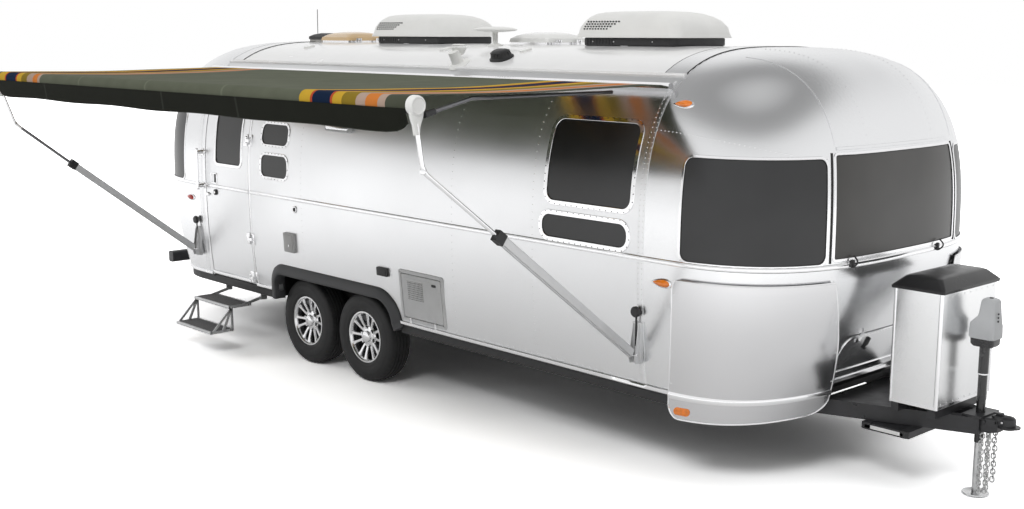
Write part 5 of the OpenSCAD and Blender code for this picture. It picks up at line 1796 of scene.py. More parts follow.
def make_locker():
    low, high = box("tongue_box")
    high.z = box("tongue_box_lid")[1].z - 0.064
    tub = hollow([(low.z, low.x, high.x, low.y, high.y, 0.014),
                  (high.z, low.x, high.x, low.y, high.y, 0.014)], 0.004)
    alloy = aluminium_sheet("Locker_Aluminium", (0.82, 0.825, 0.83), 0.27, (3, 3, 30),
                            0.008)
    wall = add("Locker_Wall", tub, alloy)
    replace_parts(wall, "tongue_box")
    trim, spots = bmesh.new(), []
    for x in (low.x + 0.012, high.x - 0.012):
        for y in (low.y + 0.012, high.y - 0.012):
            lathe([(0.0, low.z), (0.0145, low.z), (0.0145, high.z - 0.004),
                   (0.0, high.z - 0.004)], (x, y, 0), UP, 20, trim)
    path = [Vector((x + (low.x + high.x) / 2, y + Y_MID, low.z + 0.012)) for x, y in
            round_rect(high.x - low.x, high.y - low.y, 0.014, 4)]
    n = len(path)
    sides = []
    for k in range(n):
        d = (path[(k + 1) % n] - path[k - 1]).normalized()
        sides.append((UP, Vector((d.y, -d.x, 0))))
    sweep(path, sides, [(-0.008, -0.001), (-0.008, 0.002), (0.008, 0.002),
                        (0.008, -0.001)], closed=True, bm=trim)
    for k in range(9):
        y = low.y + 0.045 + (high.y - low.y - 0.09) * k / 8
        spots += [(Vector((high.x, y, z)), FORWARD) for z in (high.z - 0.045, low.z + 0.03)]
    add("Locker_Trim", trim, bright_alloy())
    scatter("Locker_Rivets", dome(0.005, 0.0035, 7), spots, bright_alloy())
    a, b = box("tongue_box_lid")
    x0, x1, y0, y1, top = low.x - 0.014, b.x, a.y, b.y, b.z
    z = top - 0.084
    rows = [(z, 0.0, 0.012), (z + 0.016, -0.002, 0.013), (z + 0.020, 0.003, 0.016),
            (z + 0.026, 0.006, 0.02), (z + 0.072, 0.052, 0.03), (z + 0.078, 0.064, 0.04),
            (z + 0.082, 0.09, 0.06), (z + 0.084, 0.12, 0.06)]
    lid_rows = [(h, x0 + i, x1 - i, y0 + i, y1 - i, r) for h, i, r in rows]
    t = 0.004
    under = [(z, x0 + t, x1 - t, y0 + t, y1 - t, 0.01),
             (z + 0.05, x0 + 0.04, x1 - 0.04, y0 + 0.04, y1 - 0.04, 0.02)]
    lid = loft(under[::-1] + lid_rows, n=8)
    black = finish("Lid_Black", (0.016, 0.016, 0.017), 0.3, vary=0.15, scale=5.0,
                   bump_strength=0.35, fine=260.0)
    cover = add("Locker_Lid", lid, black, "tongue_box_lid", angle=50)
    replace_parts(cover, "tongue_box_lid")
    pins = bmesh.new()
    for y in (Y_MID - 0.2, Y_MID + 0.2):
        p = Vector((low.x - 0.025, y, top - 0.100))
        for s in (-1, 1):
            disc(p + Vector((0, s * 0.011, 0)), (0, s, 0), 0.009, 0.018, 16, pins,
                 bevel=0.0015)
            block(p + Vector((-0.004, s * 0.020 - 0.009, 0)),
                  p + Vector((0.012, s * 0.020 + 0.009, 0.03)), pins, 0.002)
        disc(p + Vector((0, -0.03, 0)), (0, 1, 0), 0.004, 0.06, 12, pins)
    add("Lid_Hinges", pins, bright_alloy(), "tongue_box_lid")


class CARAVAN_OT_tongue(bpy.types.Operator):
    """Build the coupler, chains, jack and tongue box"""
    bl_idname = "caravan.tongue"
    bl_label = "Tongue"

    def execute(self, context):
        for node in ("chassis_rails", "tongue_beams", "tongue_brackets"):
            reface(node, black_paint())
        make_deck()
        make_coupler()
        make_jack()
        make_locker()
        low, high = box("safety_chains")
        links = bmesh.new()
        for side in (-1, 1):
            y = Y_MID + side * 0.045
            x = middle("safety_chains").x - 0.028
            chain(links, x - 0.012, y - 0.014, high.z, low.z + 0.004)
            chain(links, x + 0.012, y + 0.016, high.z, low.z + 0.03 + 0.02 * side)
        steel = finish("Chain_Steel", (0.6, 0.6, 0.6), 0.28, 1.0, vary=0.12, scale=40.0)
        hung = add("Safety_Chains", links, steel)
        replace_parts(hung, "safety_chains")
        bar = finish("Bumper_Grey", (0.05, 0.052, 0.055), 0.4, vary=0.12, scale=7.0)
        reface("rear_bumper", bar)
        return {"FINISHED"}


# ---- roof -------------------------------------------------------------------


def shroud(mid_x, body_len, wide, z):
    """Lofted cover of an air conditioner, its nose rounder than its tail."""
    h = body_len / 2
    w = wide / 2
    rows = [(0.0, h, h, w, 0.07), (0.006, h, h, w, 0.075), (0.014, h - 0.002, h - 0.002, w, 0.08),
            (0.03, h - 0.008, h - 0.004, w - 0.006, 0.09),
            (0.075, h - 0.016, h - 0.012, w - 0.012, 0.10),
            (0.115, h - 0.03, h - 0.04, w - 0.03, 0.12),
            (0.145, h - 0.045, h - 0.085, w - 0.06, 0.13),
            (0.168, h - 0.07, h - 0.15, w - 0.10, 0.13),
            (0.180, h - 0.11, h - 0.23, w - 0.15, 0.12),
            (0.186, h - 0.20, h - 0.34, w - 0.22, 0.09)]
    return loft([(z + u, mid_x - back, mid_x + front, Y_MID - side, Y_MID + side, r)
                 for u, back, front, side, r in rows], n=8)


def make_coolers():
    low, high = box("ac_shrouds")
    z = low.z
    covers, slots, bases, joints = (bmesh.new() for _ in range(4))
    length = 0.98
    for mid_x in (low.x + length / 2, high.x - length / 2):
        merge(covers, shroud(mid_x, length, high.y - low.y, z))
        for s in (-1, 1):
            for row in range(4):
                for k in range(12 - row):
                    x = mid_x - 0.355 + 0.027 * k - 0.007 * row
                    u = 0.112 - 0.017 * row
                    inset = 0.012 + max(0.0, u - 0.075) * 0.45
                    y = Y_MID + s * ((high.y - low.y) / 2 - inset)
                    tilt = Matrix.Translation((x, y, z + u)) \
                        @ Matrix.Rotation(s * -math.radians(76), 4, "X")
                    merge(slots, plate(0.015, 0.010, 0.0045, 0.003, 0, -0.003, 2), tilt)
            disc((mid_x - 0.47, Y_MID + s * 0.27, z + 0.02), (-1, 0, 0), 0.006, 0.008, 12,
                 slots)
        x0, x1 = mid_x - 0.43, mid_x + 0.45
        loft([(z - 0.062, x0 + 0.02, x1 - 0.03, Y_MID - 0.285, Y_MID + 0.285, 0.06),
              (z - 0.052, x0, x1, Y_MID - 0.293, Y_MID + 0.293, 0.06),
              (z - 0.004, x0, x1, Y_MID - 0.293, Y_MID + 0.293, 0.06),
              (z, x0 + 0.01, x1 - 0.01, Y_MID - 0.285, Y_MID + 0.285, 0.06)], bases)
        for s in (-1, 1):
            for k in range(9):
                block((x0 + 0.06 + 0.03 * k, Y_MID + s * 0.2935 - 0.003, z - 0.044),
                      (x0 + 0.066 + 0.03 * k, Y_MID + s * 0.2935 + 0.003, z - 0.012),
                      bases, 0.001)
            for x in (x0 + 0.12, x0 + 0.32, x1 - 0.2):
                disc((x, Y_MID + s * 0.291, z - 0.028), (0, s, 0), 0.005, 0.006, 12, joints)
            block((mid_x - 0.05, Y_MID + s * 0.27 - 0.02, z - 0.075),
                  (mid_x + 0.02, Y_MID + s * 0.27 + 0.02, z - 0.05), joints, 0.004)
    cover = add("Cooler_Covers", covers, white_plastic(), angle=40)
    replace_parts(cover, "ac_shrouds")
    add("Cooler_Slots", slots, black_plastic())
    pan = add("Cooler_Bases", bases, black_plastic())
    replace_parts(pan, "ac_bases")
    add("Cooler_Feet", joints, finish("Fixing_Grey", (0.5, 0.5, 0.5), 0.5))


def make_vents():
    tints = {"vent_lid_front": ((0.80, 0.80, 0.78), "white_plastic"),
             "vent_lid_rear": ((0.62, 0.43, 0.22), "vent_amber")}
    for x, node in VENT_SPOTS:
        high = box(node)[1]
        color, slot_name = tints[node]
        half = 0.216
        z = high.z - 0.078
        rows = [(0.0, 0.0, 0.02), (0.004, 0.0, 0.022), (0.030, 0.004, 0.03),
                (0.034, 0.012, 0.035), (0.052, 0.034, 0.05), (0.066, 0.07, 0.07),
                (0.074, 0.11, 0.08), (0.078, 0.15, 0.06)]
        rows.insert(0, (0.028, 0.012, 0.03))
        bm = loft([(z + u, x - half + i, x + half - i, Y_MID - half + i, Y_MID + half - i, r)
                   for u, i, r in rows], n=8)
        mat = finish("Tan_Lid" if "rear" in node else "Smoke_Lid", color, 0.2,
                     vary=0.05, scale=4.0, coat_weight=0.5)
        lid = add("Vent_Lid_" + node.split("_")[-1], bm, mat, node, angle=40)
        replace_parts(lid, node)
        pins = bmesh.new()
        px = x + VENT_HALF + 0.054
        for s in (-1, 1):
            p = Vector((px, Y_MID + s * 0.11, high.z - 0.066))
            disc(p + Vector((0, -0.03, 0)), (0, 1, 0), 0.004, 0.06, 12, pins)
            disc(p + Vector((0, -0.012, 0)), (0, 1, 0), 0.009, 0.024, 14, pins, bevel=0.002)
            block(p + Vector((-0.03, -0.011, -0.006)), p + Vector((0.0, 0.011, 0.006)),
                  pins, 0.002)
        add("Vent_Hinge_" + node.split("_")[-1], pins, bright_alloy(), node)
    reface("vent_frames", bright_alloy())


def make_small_things():
    white, dark, tan = (bmesh.new() for _ in range(3))
    high = box("roof_fittings")[1]

    def spot(x, y, lift=0.0):
        v = math.atan2((1 - (abs(y) / HALF_W) ** SQUARE_N) ** (1 / SQUARE_N),
                       abs(y) / HALF_W)
        return skin(bx(x), v, lift), skin_normal(bx(x), v)

    p, n = spot(1.08, -0.4)
    lathe([(0.0, 0.0), (0.062, -0.004), (0.062, 0.006), (0.03, 0.016), (0.0, 0.018)], p, n,
          36, white)
    lathe([(0.021, 0.0), (0.021, 0.10), (0.03, 0.108), (0.0, 0.108)], p, UP, 28,
          white)
    lathe([(0.0, 0.102), (0.07, 0.104), (0.15, 0.112), (0.168, 0.118), (0.170, 0.122),
           (0.166, 0.126), (0.13, 0.136), (0.07, 0.143), (0.0, 0.145)], p, UP, 64,
          white)
    p, n = spot(1.23, -0.895)
    lathe([(0.0, -0.01), (0.085, -0.012), (0.085, 0.004), (0.055, 0.012), (0.045, 0.02),
           (0.043, 0.11), (0.0, 0.112)], p, n, 36, white)
    top = p + Vector((0, 0, 0.09))
    lathe([(0.03, -0.02), (0.046, 0.0), (0.056, 0.03), (0.054, 0.034), (0.04, 0.02),
           (0.0, 0.01)], top, UP, 36, white)
    lathe([(0.0, 0.045), (0.05, 0.045), (0.052, 0.05), (0.04, 0.056), (0.0, 0.058)], top,
          UP, 36, white)
    p, n = spot(1.58, -0.79)
    m = axes_at(p, FORWARD, n)
    merge(dark, loft([(-0.012, -0.10, 0.10, -0.07, 0.07, 0.069),
                      (0.008, -0.10, 0.10, -0.07, 0.07, 0.069),
                      (0.016, -0.088, 0.088, -0.058, 0.058, 0.057),
                      (0.052, -0.078, 0.078, -0.048, 0.048, 0.047),
                      (0.060, -0.064, 0.064, -0.036, 0.036, 0.035)], n=8), m)
    for k in range(14):
        a = 2 * math.pi * k / 14
        rib = block((-0.003, -0.002, 0.014), (0.003, 0.010, 0.05), bevel=0.001)
        merge(dark, rib, m @ shift(0.078 * math.cos(a), 0.048 * math.sin(a), 0)
              @ Matrix.Rotation(a - math.pi / 2, 4, "Z"))
    p, n = spot(-2.067, 0.0)
    lathe([(0.02, -0.01), (0.02, 0.03), (0.01, 0.06), (0.0, 0.06)], p, UP, 20, dark)
    tube([p + Vector((0, 0, 0.05 + 0.05 * k)) for k in range(5)]
         + [Vector((p.x, p.y, high.z - 0.002))], 0.0032, 8, dark)
    p, n = spot(-1.65, 0.0)
    z = p.z
    for dst, n, rows in (
            (tan, 6, ((-0.02, 0.15, 0.03), (0.028, 0.15, 0.03))),
            (dark, 8, ((0.026, 0.16, 0.04), (0.050, 0.16, 0.04), (0.070, 0.13, 0.06),
                       (0.082, 0.08, 0.06)))):
        merge(dst, loft([(z + u, p.x - h, p.x + h, Y_MID - h, Y_MID + h, r)
                         for u, h, r in rows], n=n))
    for x in (-1.1, 0.75, 1.65):
        p, n = spot(x, -0.62)
        place = Matrix.Translation(p) @ n.to_track_quat("Z", "X").to_matrix().to_4x4()
        merge(white, plate(0.09, 0.05, 0.012, 0.01, 0.004, -0.006), place)
    rest = add("Roof_White_Fittings", white, white_plastic())
    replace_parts(rest, "roof_fittings")
    add("Roof_Black_Fittings", dark, black_plastic())
    add("Roof_Grey_Frame", tan, finish("Vent_Frame_Grey", (0.4, 0.39, 0.37), 0.5))


class CARAVAN_OT_roof(bpy.types.Operator):
    """Build the air conditioners, vents and the small things on the roof"""
    bl_idname = "caravan.roof"
    bl_label = "Roof Equipment"

    def execute(self, context):
        make_coolers()
        make_vents()
        make_small_things()
        return {"FINISHED"}


# ---- awning -----------------------------------------------------------------


# Where each stripe of the cloth starts, in body metres, and its colour
YELLOW, RED, NAVY = (0.56, 0.35, 0.035), (0.46, 0.075, 0.03), (0.005, 0.015, 0.042)
MUSTARD, BEIGE, ORANGE = (0.24, 0.165, 0.02), (0.42, 0.31, 0.25), (0.58, 0.19, 0.04)
BAND = (YELLOW, RED, NAVY, RED, YELLOW, MUSTARD, BEIGE, ORANGE, BEIGE)
REAR_BAND = (-1.86, -1.72, -1.70, -1.52, -1.50, -1.41, -1.30, -1.21, -1.12, -1.07)
CLOTH_LOW, CLOTH_SPAN = -1.95, 5.4
FRONT_BAND = (2.385, 2.495, 2.515, 2.675, 2.695, 2.788, 2.915, 3.005, 3.10, 3.155)


def cloth_stops():
    green = tuple(colours().cloth)
    rows = [(CLOTH_LOW, green)]
    rows += list(zip(REAR_BAND[:-1], BAND)) + [(REAR_BAND[-1], green)]
    for x in (-0.42, 0.58, 1.55):
        rows += [(x, shade(green, 1.3)), (x + 0.012, green)]
    rows += list(zip(FRONT_BAND[:-1], BAND)) + [(FRONT_BAND[-1], shade(green, 0.6))]
    return rows


def awning_arm_xs():
    low, high = box("awning_arms")
    return high.x - 0.040, low.x + 0.040


class CARAVAN_OT_awning(bpy.types.Operator):
    """Build the awning's cloth, roller and arms"""
    bl_idname = "caravan.awning"
    bl_label = "Awning"

    def execute(self, context):
        low, high = box("awning_canopy")
        self.x0, self.x1 = low.x, high.x
        self.rail = Vector((0, high.y, high.z))
        self.roll_r = 0.047
        self.roll = Vector((0, low.y + 0.008 + self.roll_r, low.z + 0.084))
        self.cloth()
        self.valance()
        self.roller()
        self.arms()
        return {"FINISHED"}

    def cloth(self):
        r = self.roll_r + 0.0025
        top = self.roll + Vector((0, 0, r))
        run = top - self.rail
        flat = [self.rail + run * (k / 40) for k in range(41)]
        wrap = [self.roll + Vector((0, r * math.cos(a), r * math.sin(a)))
                for a in (math.radians(90 + 125 * k / 12) for k in range(1, 13))]
        line = flat + wrap
        along = [0.0]
        for a, b in zip(line, line[1:]):
            along.append(along[-1] + (b - a).length)
        sag = sizes().sag
        nx = 210
        wide = self.x1 - self.x0

        def place(i, j):
            x = self.x0 + wide * i / nx
            p = line[j].copy()
            p.x = x
            if j <= 40:
                s = j / 40
                hang = math.sin(math.pi * s)
                ends = 1 - 0.45 * math.exp(-((x - self.x0) / 0.25)) \
                    - 0.45 * math.exp(-((self.x1 - x) / 0.25))
                p.z -= sag * hang * ends
                p.z += 0.0022 * hang * math.sin(5.1 * x + 2.0 * s) * math.sin(9 * s + 1.3 * x)
            return p

        bm = grid(nx, len(line) - 1, place,
                  uv=lambda i, j: (self.x0 + wide * i / nx - X_AXLES, along[j]))
        stops = [((x - CLOTH_LOW) / CLOTH_SPAN, c) for x, c in cloth_stops()]
        cloth = canopy_cloth("Canopy_Acrylic", stops, CLOTH_LOW, CLOTH_SPAN)
        piece = add("Awning_Cloth", bm, cloth, normals=False)
        solidify(piece, 0.0012, 0.0)
        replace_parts(piece, "awning_canopy")

    def valance(self):
        r = self.roll_r + 0.006
        start = math.radians(196)
        wide = self.x1 - self.x0
        nx, ny = 180, 14
        drop = 0.125

        def place(i, j):
            x = self.x0 + wide * i / nx
            s = j / ny
            y = self.roll.y + r * math.cos(start) + 0.02 * s
            z = self.roll.z + r * math.sin(start) - drop * s
            wave = math.sin(3.3 * x) * 0.5 + math.sin(7.9 * x + 1.0) * 0.3
            y += 0.007 * s * wave
            z += 0.004 * s * math.sin(5.2 * x + 0.6)
            edge = min(x - self.x0, self.x1 - x)
            z += 0.05 * s * math.exp(-edge / 0.05)
            return Vector((x, y, z))

        bm = grid(nx, ny, place, uv=lambda i, j: (wide * i / nx, drop * j / ny), flip=True)
        dark = (0.012, 0.013, 0.0095)
        rows = [(0.0, dark)]
        for k in range(1, 6):
            rows += [(0.9 * k / CLOTH_SPAN, (0.028, 0.030, 0.025)),
                     ((0.9 * k + 0.01) / CLOTH_SPAN, dark)]
        mat = canopy_cloth("Valance_Acrylic", rows, 0.0, CLOTH_SPAN)
        piece = add("Awning_Valance", bm, mat, normals=False)
        solidify(piece, 0.0012, 0.0)
        hem = bmesh.new()
        tube([place(i, ny) for i in range(0, nx + 1, 3)], 0.0022, 6, hem)
        add("Valance_Hem", hem, finish("Hem_Binding", (0.03, 0.032, 0.026), 0.8))

    def roller(self):
        xs = awning_arm_xs()
        bm = bmesh.new()
        disc((xs[1] + 0.035, self.roll.y, self.roll.z), FORWARD, self.roll_r - 0.003,
             xs[0] - xs[1] - 0.07, 40, bm)
        barrel = add("Awning_Roller", bm, finish("Roller_Grey", (0.2, 0.2, 0.21), 0.4, 0.6,
                                                 vary=0.1, scale=20.0))
        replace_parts(barrel, "awning_arms")
        caps, ribs = bmesh.new(), bmesh.new()
        for x, s in ((xs[0], 1), (xs[1], -1)):
            c = Vector((x - s * 0.024, self.roll.y, self.roll.z))
            lathe([(0.0, 0.0), (0.052, 0.0), (0.053, 0.004), (0.053, 0.030), (0.050, 0.040),
                   (0.044, 0.046), (0.040, 0.046), (0.038, 0.043), (0.0, 0.043)], c,
                  (s, 0, 0), 44, caps)
            collar = Vector((x - s * 0.055, self.roll.y, self.roll.z))
            disc(collar, (s, 0, 0), 0.044, 0.03, 40, ribs, bevel=0.003)
            for k in range(20):
                a = 2 * math.pi * k / 20
                p = collar + Vector((0, 0.045 * math.cos(a), 0.045 * math.sin(a)))
                disc(p, (s, 0, 0), 0.003, 0.028, 6, ribs)
            loft([(self.roll.z + z, x - 0.012, x + 0.012, self.roll.y - w, self.roll.y + w, 0.008)
                  for w, z in ((0.016, -0.15), (0.024, -0.10), (0.040, -0.06), (0.046, -0.02))],
                 caps)
        add("Roller_Caps", caps, white_plastic())
        add("Roller_Collars", ribs, black_plastic())

    def arms(self):
        steel, white, black, dark = (bmesh.new() for _ in range(4))
        foot_z = box("awning_arms")[0].z + 0.06
        wall_y = Y_MID - HALF_W
        elbow = Vector((0, Y_MID - 2.98, 2.04))
        collar = Vector((0, Y_MID - 2.45, 1.64))
        foot = Vector((0, wall_y - 0.034, foot_z))
        for x, s in zip(awning_arm_xs(), (1, -1)):
            here = Vector((x, 0, 0))
            a, b, c = foot + here, collar + here, elbow + here
            if s < 0:
                c += Vector((0, 0.06, -0.035))
            d = (b - a).normalized()
            up = Vector((0, -d.z, d.y))
            prof = [(-0.017, -0.024), (-0.013, -0.028), (0.013, -0.028), (0.017, -0.024),
                    (0.017, 0.020), (0.009, 0.020), (0.009, 0.028), (-0.009, 0.028),
                    (-0.009, 0.020), (-0.017, 0.020)]
            path = [a + d * (0.02 + (b - a).length * k / 12 * 0.98) for k in range(13)]
            sweep(path, [(FORWARD, up)] * len(path), prof, bm=white)
            sweep([b - d * 0.03, b + d * 0.035], [(FORWARD, up)] * 2,
                  [(-0.022, -0.033), (0.022, -0.033), (0.022, 0.033), (-0.022, 0.033)],
                  bm=black)
            end = Vector((x, self.roll.y, self.roll.z - 0.09))
            back, on = (b - c).normalized(), (end - c).normalized()
            start = c + back * 0.06
            # Painted shade: the rear arm's rod takes the dark rafter steel while the front arm's
            # identical rod stays bright steel
            tube([b, start], 0.012, 12, dark if s < 0 else steel)
            tube([start, c + back * 0.03, c + back * 0.012 + on * 0.012, c + on * 0.03, end],
                 0.0125, 12, steel)
            block((x - 0.015, c.y - 0.011, c.z - 0.015), (x + 0.015, c.y + 0.011, c.z + 0.012),
                  steel, 0.005)
            tip = Vector((x, self.roll.y + 0.05, self.roll.z - 0.05))
            bend = Vector((x - s * 0.06, self.roll.y + 0.42, self.roll.z + 0.02))
            upper = Vector((x - s * 0.25, wall_y + 0.01, self.roll.z + 0.01))
            tube([tip, bend, upper], 0.011, 10, dark)
            disc(tip, bend - tip, 0.017, 0.08, 16, black)
            self.bracket(x, a, white, black, steel)
        # The dark rafter piece also holds the rear arm's rod, darkened as painted shade
        for name, bm, mat, slot_name in (
                ("Arm_Rods", steel, bright_alloy(), "bright_trim"),
                ("Arm_Profiles", white, finish("Arm_Silver", (0.62, 0.625, 0.63), 0.35, 0.55,
                                               vary=0.05, scale=8.0), "bright_trim"),
                ("Arm_Collars", black, black_plastic(), "black_frame"),
                ("Arm_Rafters_And_Rear_Rod_Shade", dark, finish("Rafter_Steel_And_Rod_Shade", (0.2, 0.2, 0.21), 0.35, 0.8,
                                             vary=0.1, scale=10.0), "bright_trim")):
            add(name, bm, mat)
        rail = bmesh.new()
        t0, t1 = self.x0 - 0.06, self.x1 + 0.06
        y, z = self.rail.y + 0.012, self.rail.z - 0.008
        prof = [(-0.014, -0.012), (0.03, -0.02), (0.034, 0.012), (0.008, 0.022), (-0.012, 0.016)]
        path = [Vector((t0 + (t1 - t0) * k / 30, y, z)) for k in range(31)]
        sweep(path, [(Vector((0, 1, 0)), UP)] * 31, prof, bm=rail)
        add("Awning_Rail", rail, bright_alloy())

    def bracket(self, x, a, white, black, steel):
        """Triangular foot plates with a pin and a round knob above them."""
        wall_y = a.y + 0.034
        for s in (-1, 1):
            tri = bmesh.new()
            pts = [(0.0, -0.055), (0.036, -0.055), (0.046, -0.02), (0.012, 0.19), (0.0, 0.19)]
            lo = [tri.verts.new((x + s * 0.026, wall_y - p, a.z + q)) for p, q in pts]
            hi = [tri.verts.new((x + s * 0.021, wall_y - p, a.z + q)) for p, q in pts]
            tri.faces.new(lo)
            tri.faces.new(hi[::-1])
            n = len(pts)
            for k in range(n):
                tri.faces.new((lo[k], hi[k], hi[(k + 1) % n], lo[(k + 1) % n]))
            merge(white, tri)
        block((x - 0.034, wall_y - 0.006, a.z - 0.06), (x + 0.034, wall_y + 0.022, a.z + 0.2),
              white, 0.003)
        disc((x - 0.03, a.y, a.z), (1, 0, 0), 0.009, 0.06, 18, steel, bevel=0.002)
        for z in (a.z + 0.04, a.z + 0.12):
            disc((x, wall_y - 0.008, z), (0, -1, 0), 0.006, 0.004, 12, steel, bevel=0.001)
        block((x - 0.006, wall_y - 0.014, a.z + 0.05), (x + 0.006, wall_y - 0.004, a.z + 0.24),
              black, 0.003)
        knob = Vector((x, wall_y - 0.004, a.z + 0.265))
        lathe([(0.0, 0.0), (0.03, 0.0), (0.034, 0.006), (0.034, 0.02), (0.028, 0.028),
               (0.0, 0.03)], knob, (0, -1, 0), 36, black)


# ---- entry steps ------------------------------------------------------------


def step_alloy():
    return finish("Step_Aluminium", (0.62, 0.625, 0.63), 0.36, 0.75, vary=0.08, scale=26.0,
                  fine=260.0)


def tread_grit():
    return finish("Tread_Grit", (0.13, 0.13, 0.132), 0.85, vary=0.35, scale=160.0,
                  spread=0.05, bump_strength=0.9, bump_distance=0.0016, fine=420.0)


def make_tread(node, name):
    (x0, y0, _), (x1, y1, top) = box(node)
    z0 = top - 0.025
    frame_bm, grit, bolts = bmesh.new(), bmesh.new(), bmesh.new()
    t = 0.018
    for a, b in (((x0, y0, z0), (x0 + 0.004, y1, top)), ((x1 - 0.004, y0, z0), (x1, y1, top)),
                 ((x0, y0, z0), (x1, y0 + t, top)), ((x0, y1 - t, z0), (x1, y1, top))):
        block(a, b, frame_bm, 0.0015)
    block((x0 + 0.004, y0 + 0.004, z0 + 0.004), (x1 - 0.004, y1 - 0.004, top - 0.003),
          frame_bm, 0.001)
    block((x0 + 0.010, y0 + 0.024, top - 0.004), (x1 - 0.010, y1 - 0.022, top - 0.0005),
          grit, 0.001)
    for k in range(9):
        y = y0 + 0.034 + (y1 - y0 - 0.066) * k / 8
        block((x0 + 0.012, y - 0.0035, top - 0.003), (x1 - 0.012, y + 0.0035, top),
              grit, 0.001)
    for x, s in ((x0, -1), (x1, 1)):
        for y in (y0 + 0.03, y1 - 0.03):
            disc((x - s * 0.001, y, top - 0.012), (s, 0, 0), 0.006, 0.003, 12, bolts)
    pan = add(name + "_Frame", frame_bm, step_alloy(), node)
    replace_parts(pan, node)
    add(name + "_Grit", grit, tread_grit(), node)
    add(name + "_Bolts", bolts, bright_alloy(), node)


def make_braces():
    low, high = box("step_links_lower")
    bm = bmesh.new()
    z_top, z_bot = high.z - 0.012, low.z + 0.012
    y_in, y_out = high.y - 0.012, low.y + 0.012
    for x0 in (low.x, high.x - 0.008):
        for y, w in ((y_out, 0.012), (y_out - 0.10, 0.010), (y_in + 0.002, 0.010)):
            a = Vector((x0 + 0.004, y_in, z_top))
            b = Vector((x0 + 0.004, y, z_bot))
            d = (b - a).normalized()
            prof = [(-0.004, -w), (0.004, -w), (0.004, w), (-0.004, w)]
            sweep([a, b], [(FORWARD, Vector((0, -d.z, d.y)))] * 2, prof, bm=bm)
        disc((x0 - 0.001, y_in, z_top), (1, 0, 0), 0.013, 0.010, 18, bm, bevel=0.001)
        disc((x0 - 0.001, y_out, z_bot), (1, 0, 0), 0.012, 0.010, 18, bm, bevel=0.001)
    links = add("Step_Braces", bm, step_alloy(), "step_links_lower")
    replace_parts(links, "step_links_lower")


class CARAVAN_OT_steps(bpy.types.Operator):
    """Build the double entry step"""
    bl_idname = "caravan.steps"
    bl_label = "Entry Steps"

    def execute(self, context):
        for node in ("step_links_upper", "step_mounts"):
            reface(node, step_alloy())
        make_tread("step_tread_upper", "Step_Upper")
        make_tread("step_tread_lower", "Step_Lower")
        make_braces()
        return {"FINISHED"}


# ---- stage ------------------------------------------------------------------


def stage_world():
    world = bpy.context.scene.world or bpy.data.worlds.new("Studio")
    bpy.context.scene.world = world
    world.use_nodes = True
    tree = world.node_tree
    tree.nodes.clear()
    out = tree.nodes.new("ShaderNodeOutputWorld")
    path = tree.nodes.new("ShaderNodeLightPath")
    coord = tree.nodes.new("ShaderNodeTexCoord")
    split = tree.nodes.new("ShaderNodeSeparateXYZ")
    tree.links.new(coord.outputs["Generated"], split.inputs["Vector"])

    def sky(stops, strength):
        band = tree.nodes.new("ShaderNodeValToRGB")
        els = band.color_ramp.elements
        els[0].position, els[0].color = 0.0, (stops[0][1],) * 3 + (1,)
        els[1].position, els[1].color = 1.0, (stops[-1][1],) * 3 + (1,)
        for pos, g in stops[1:-1]:
            els.new(pos).color = (g, g, g, 1)
        shell = tree.nodes.new("ShaderNodeBackground")
        shell.inputs["Strength"].default_value = strength
        tree.links.new(split.outputs["Z"], band.inputs["Fac"])
        tree.links.new(band.outputs["Color"], shell.inputs["Color"])
        return shell.outputs[0]

    seen = maths(world, "MAXIMUM", path.outputs["Is Camera Ray"],
                 path.outputs["Is Transmission Ray"])
    seen = maths(world, "MAXIMUM", seen, path.outputs["Is Glossy Ray"])
    mix = tree.nodes.new("ShaderNodeMixShader")
    tree.links.new(seen, mix.inputs["Fac"])
    tree.links.new(sky([(0.0, 0.08), (0.15, 0.16), (0.5, 0.8), (1.0, 1.15)], 0.7), mix.inputs[1])
    tree.links.new(sky([(0.0, 1.0), (0.07, 1.0), (0.35, 1.0), (0.56, 0.9), (0.74, 0.4),
                        (0.88, 0.34), (1.0, 0.62)], 1.0), mix.inputs[2])
    tree.links.new(mix.outputs[0], out.inputs["Surface"])


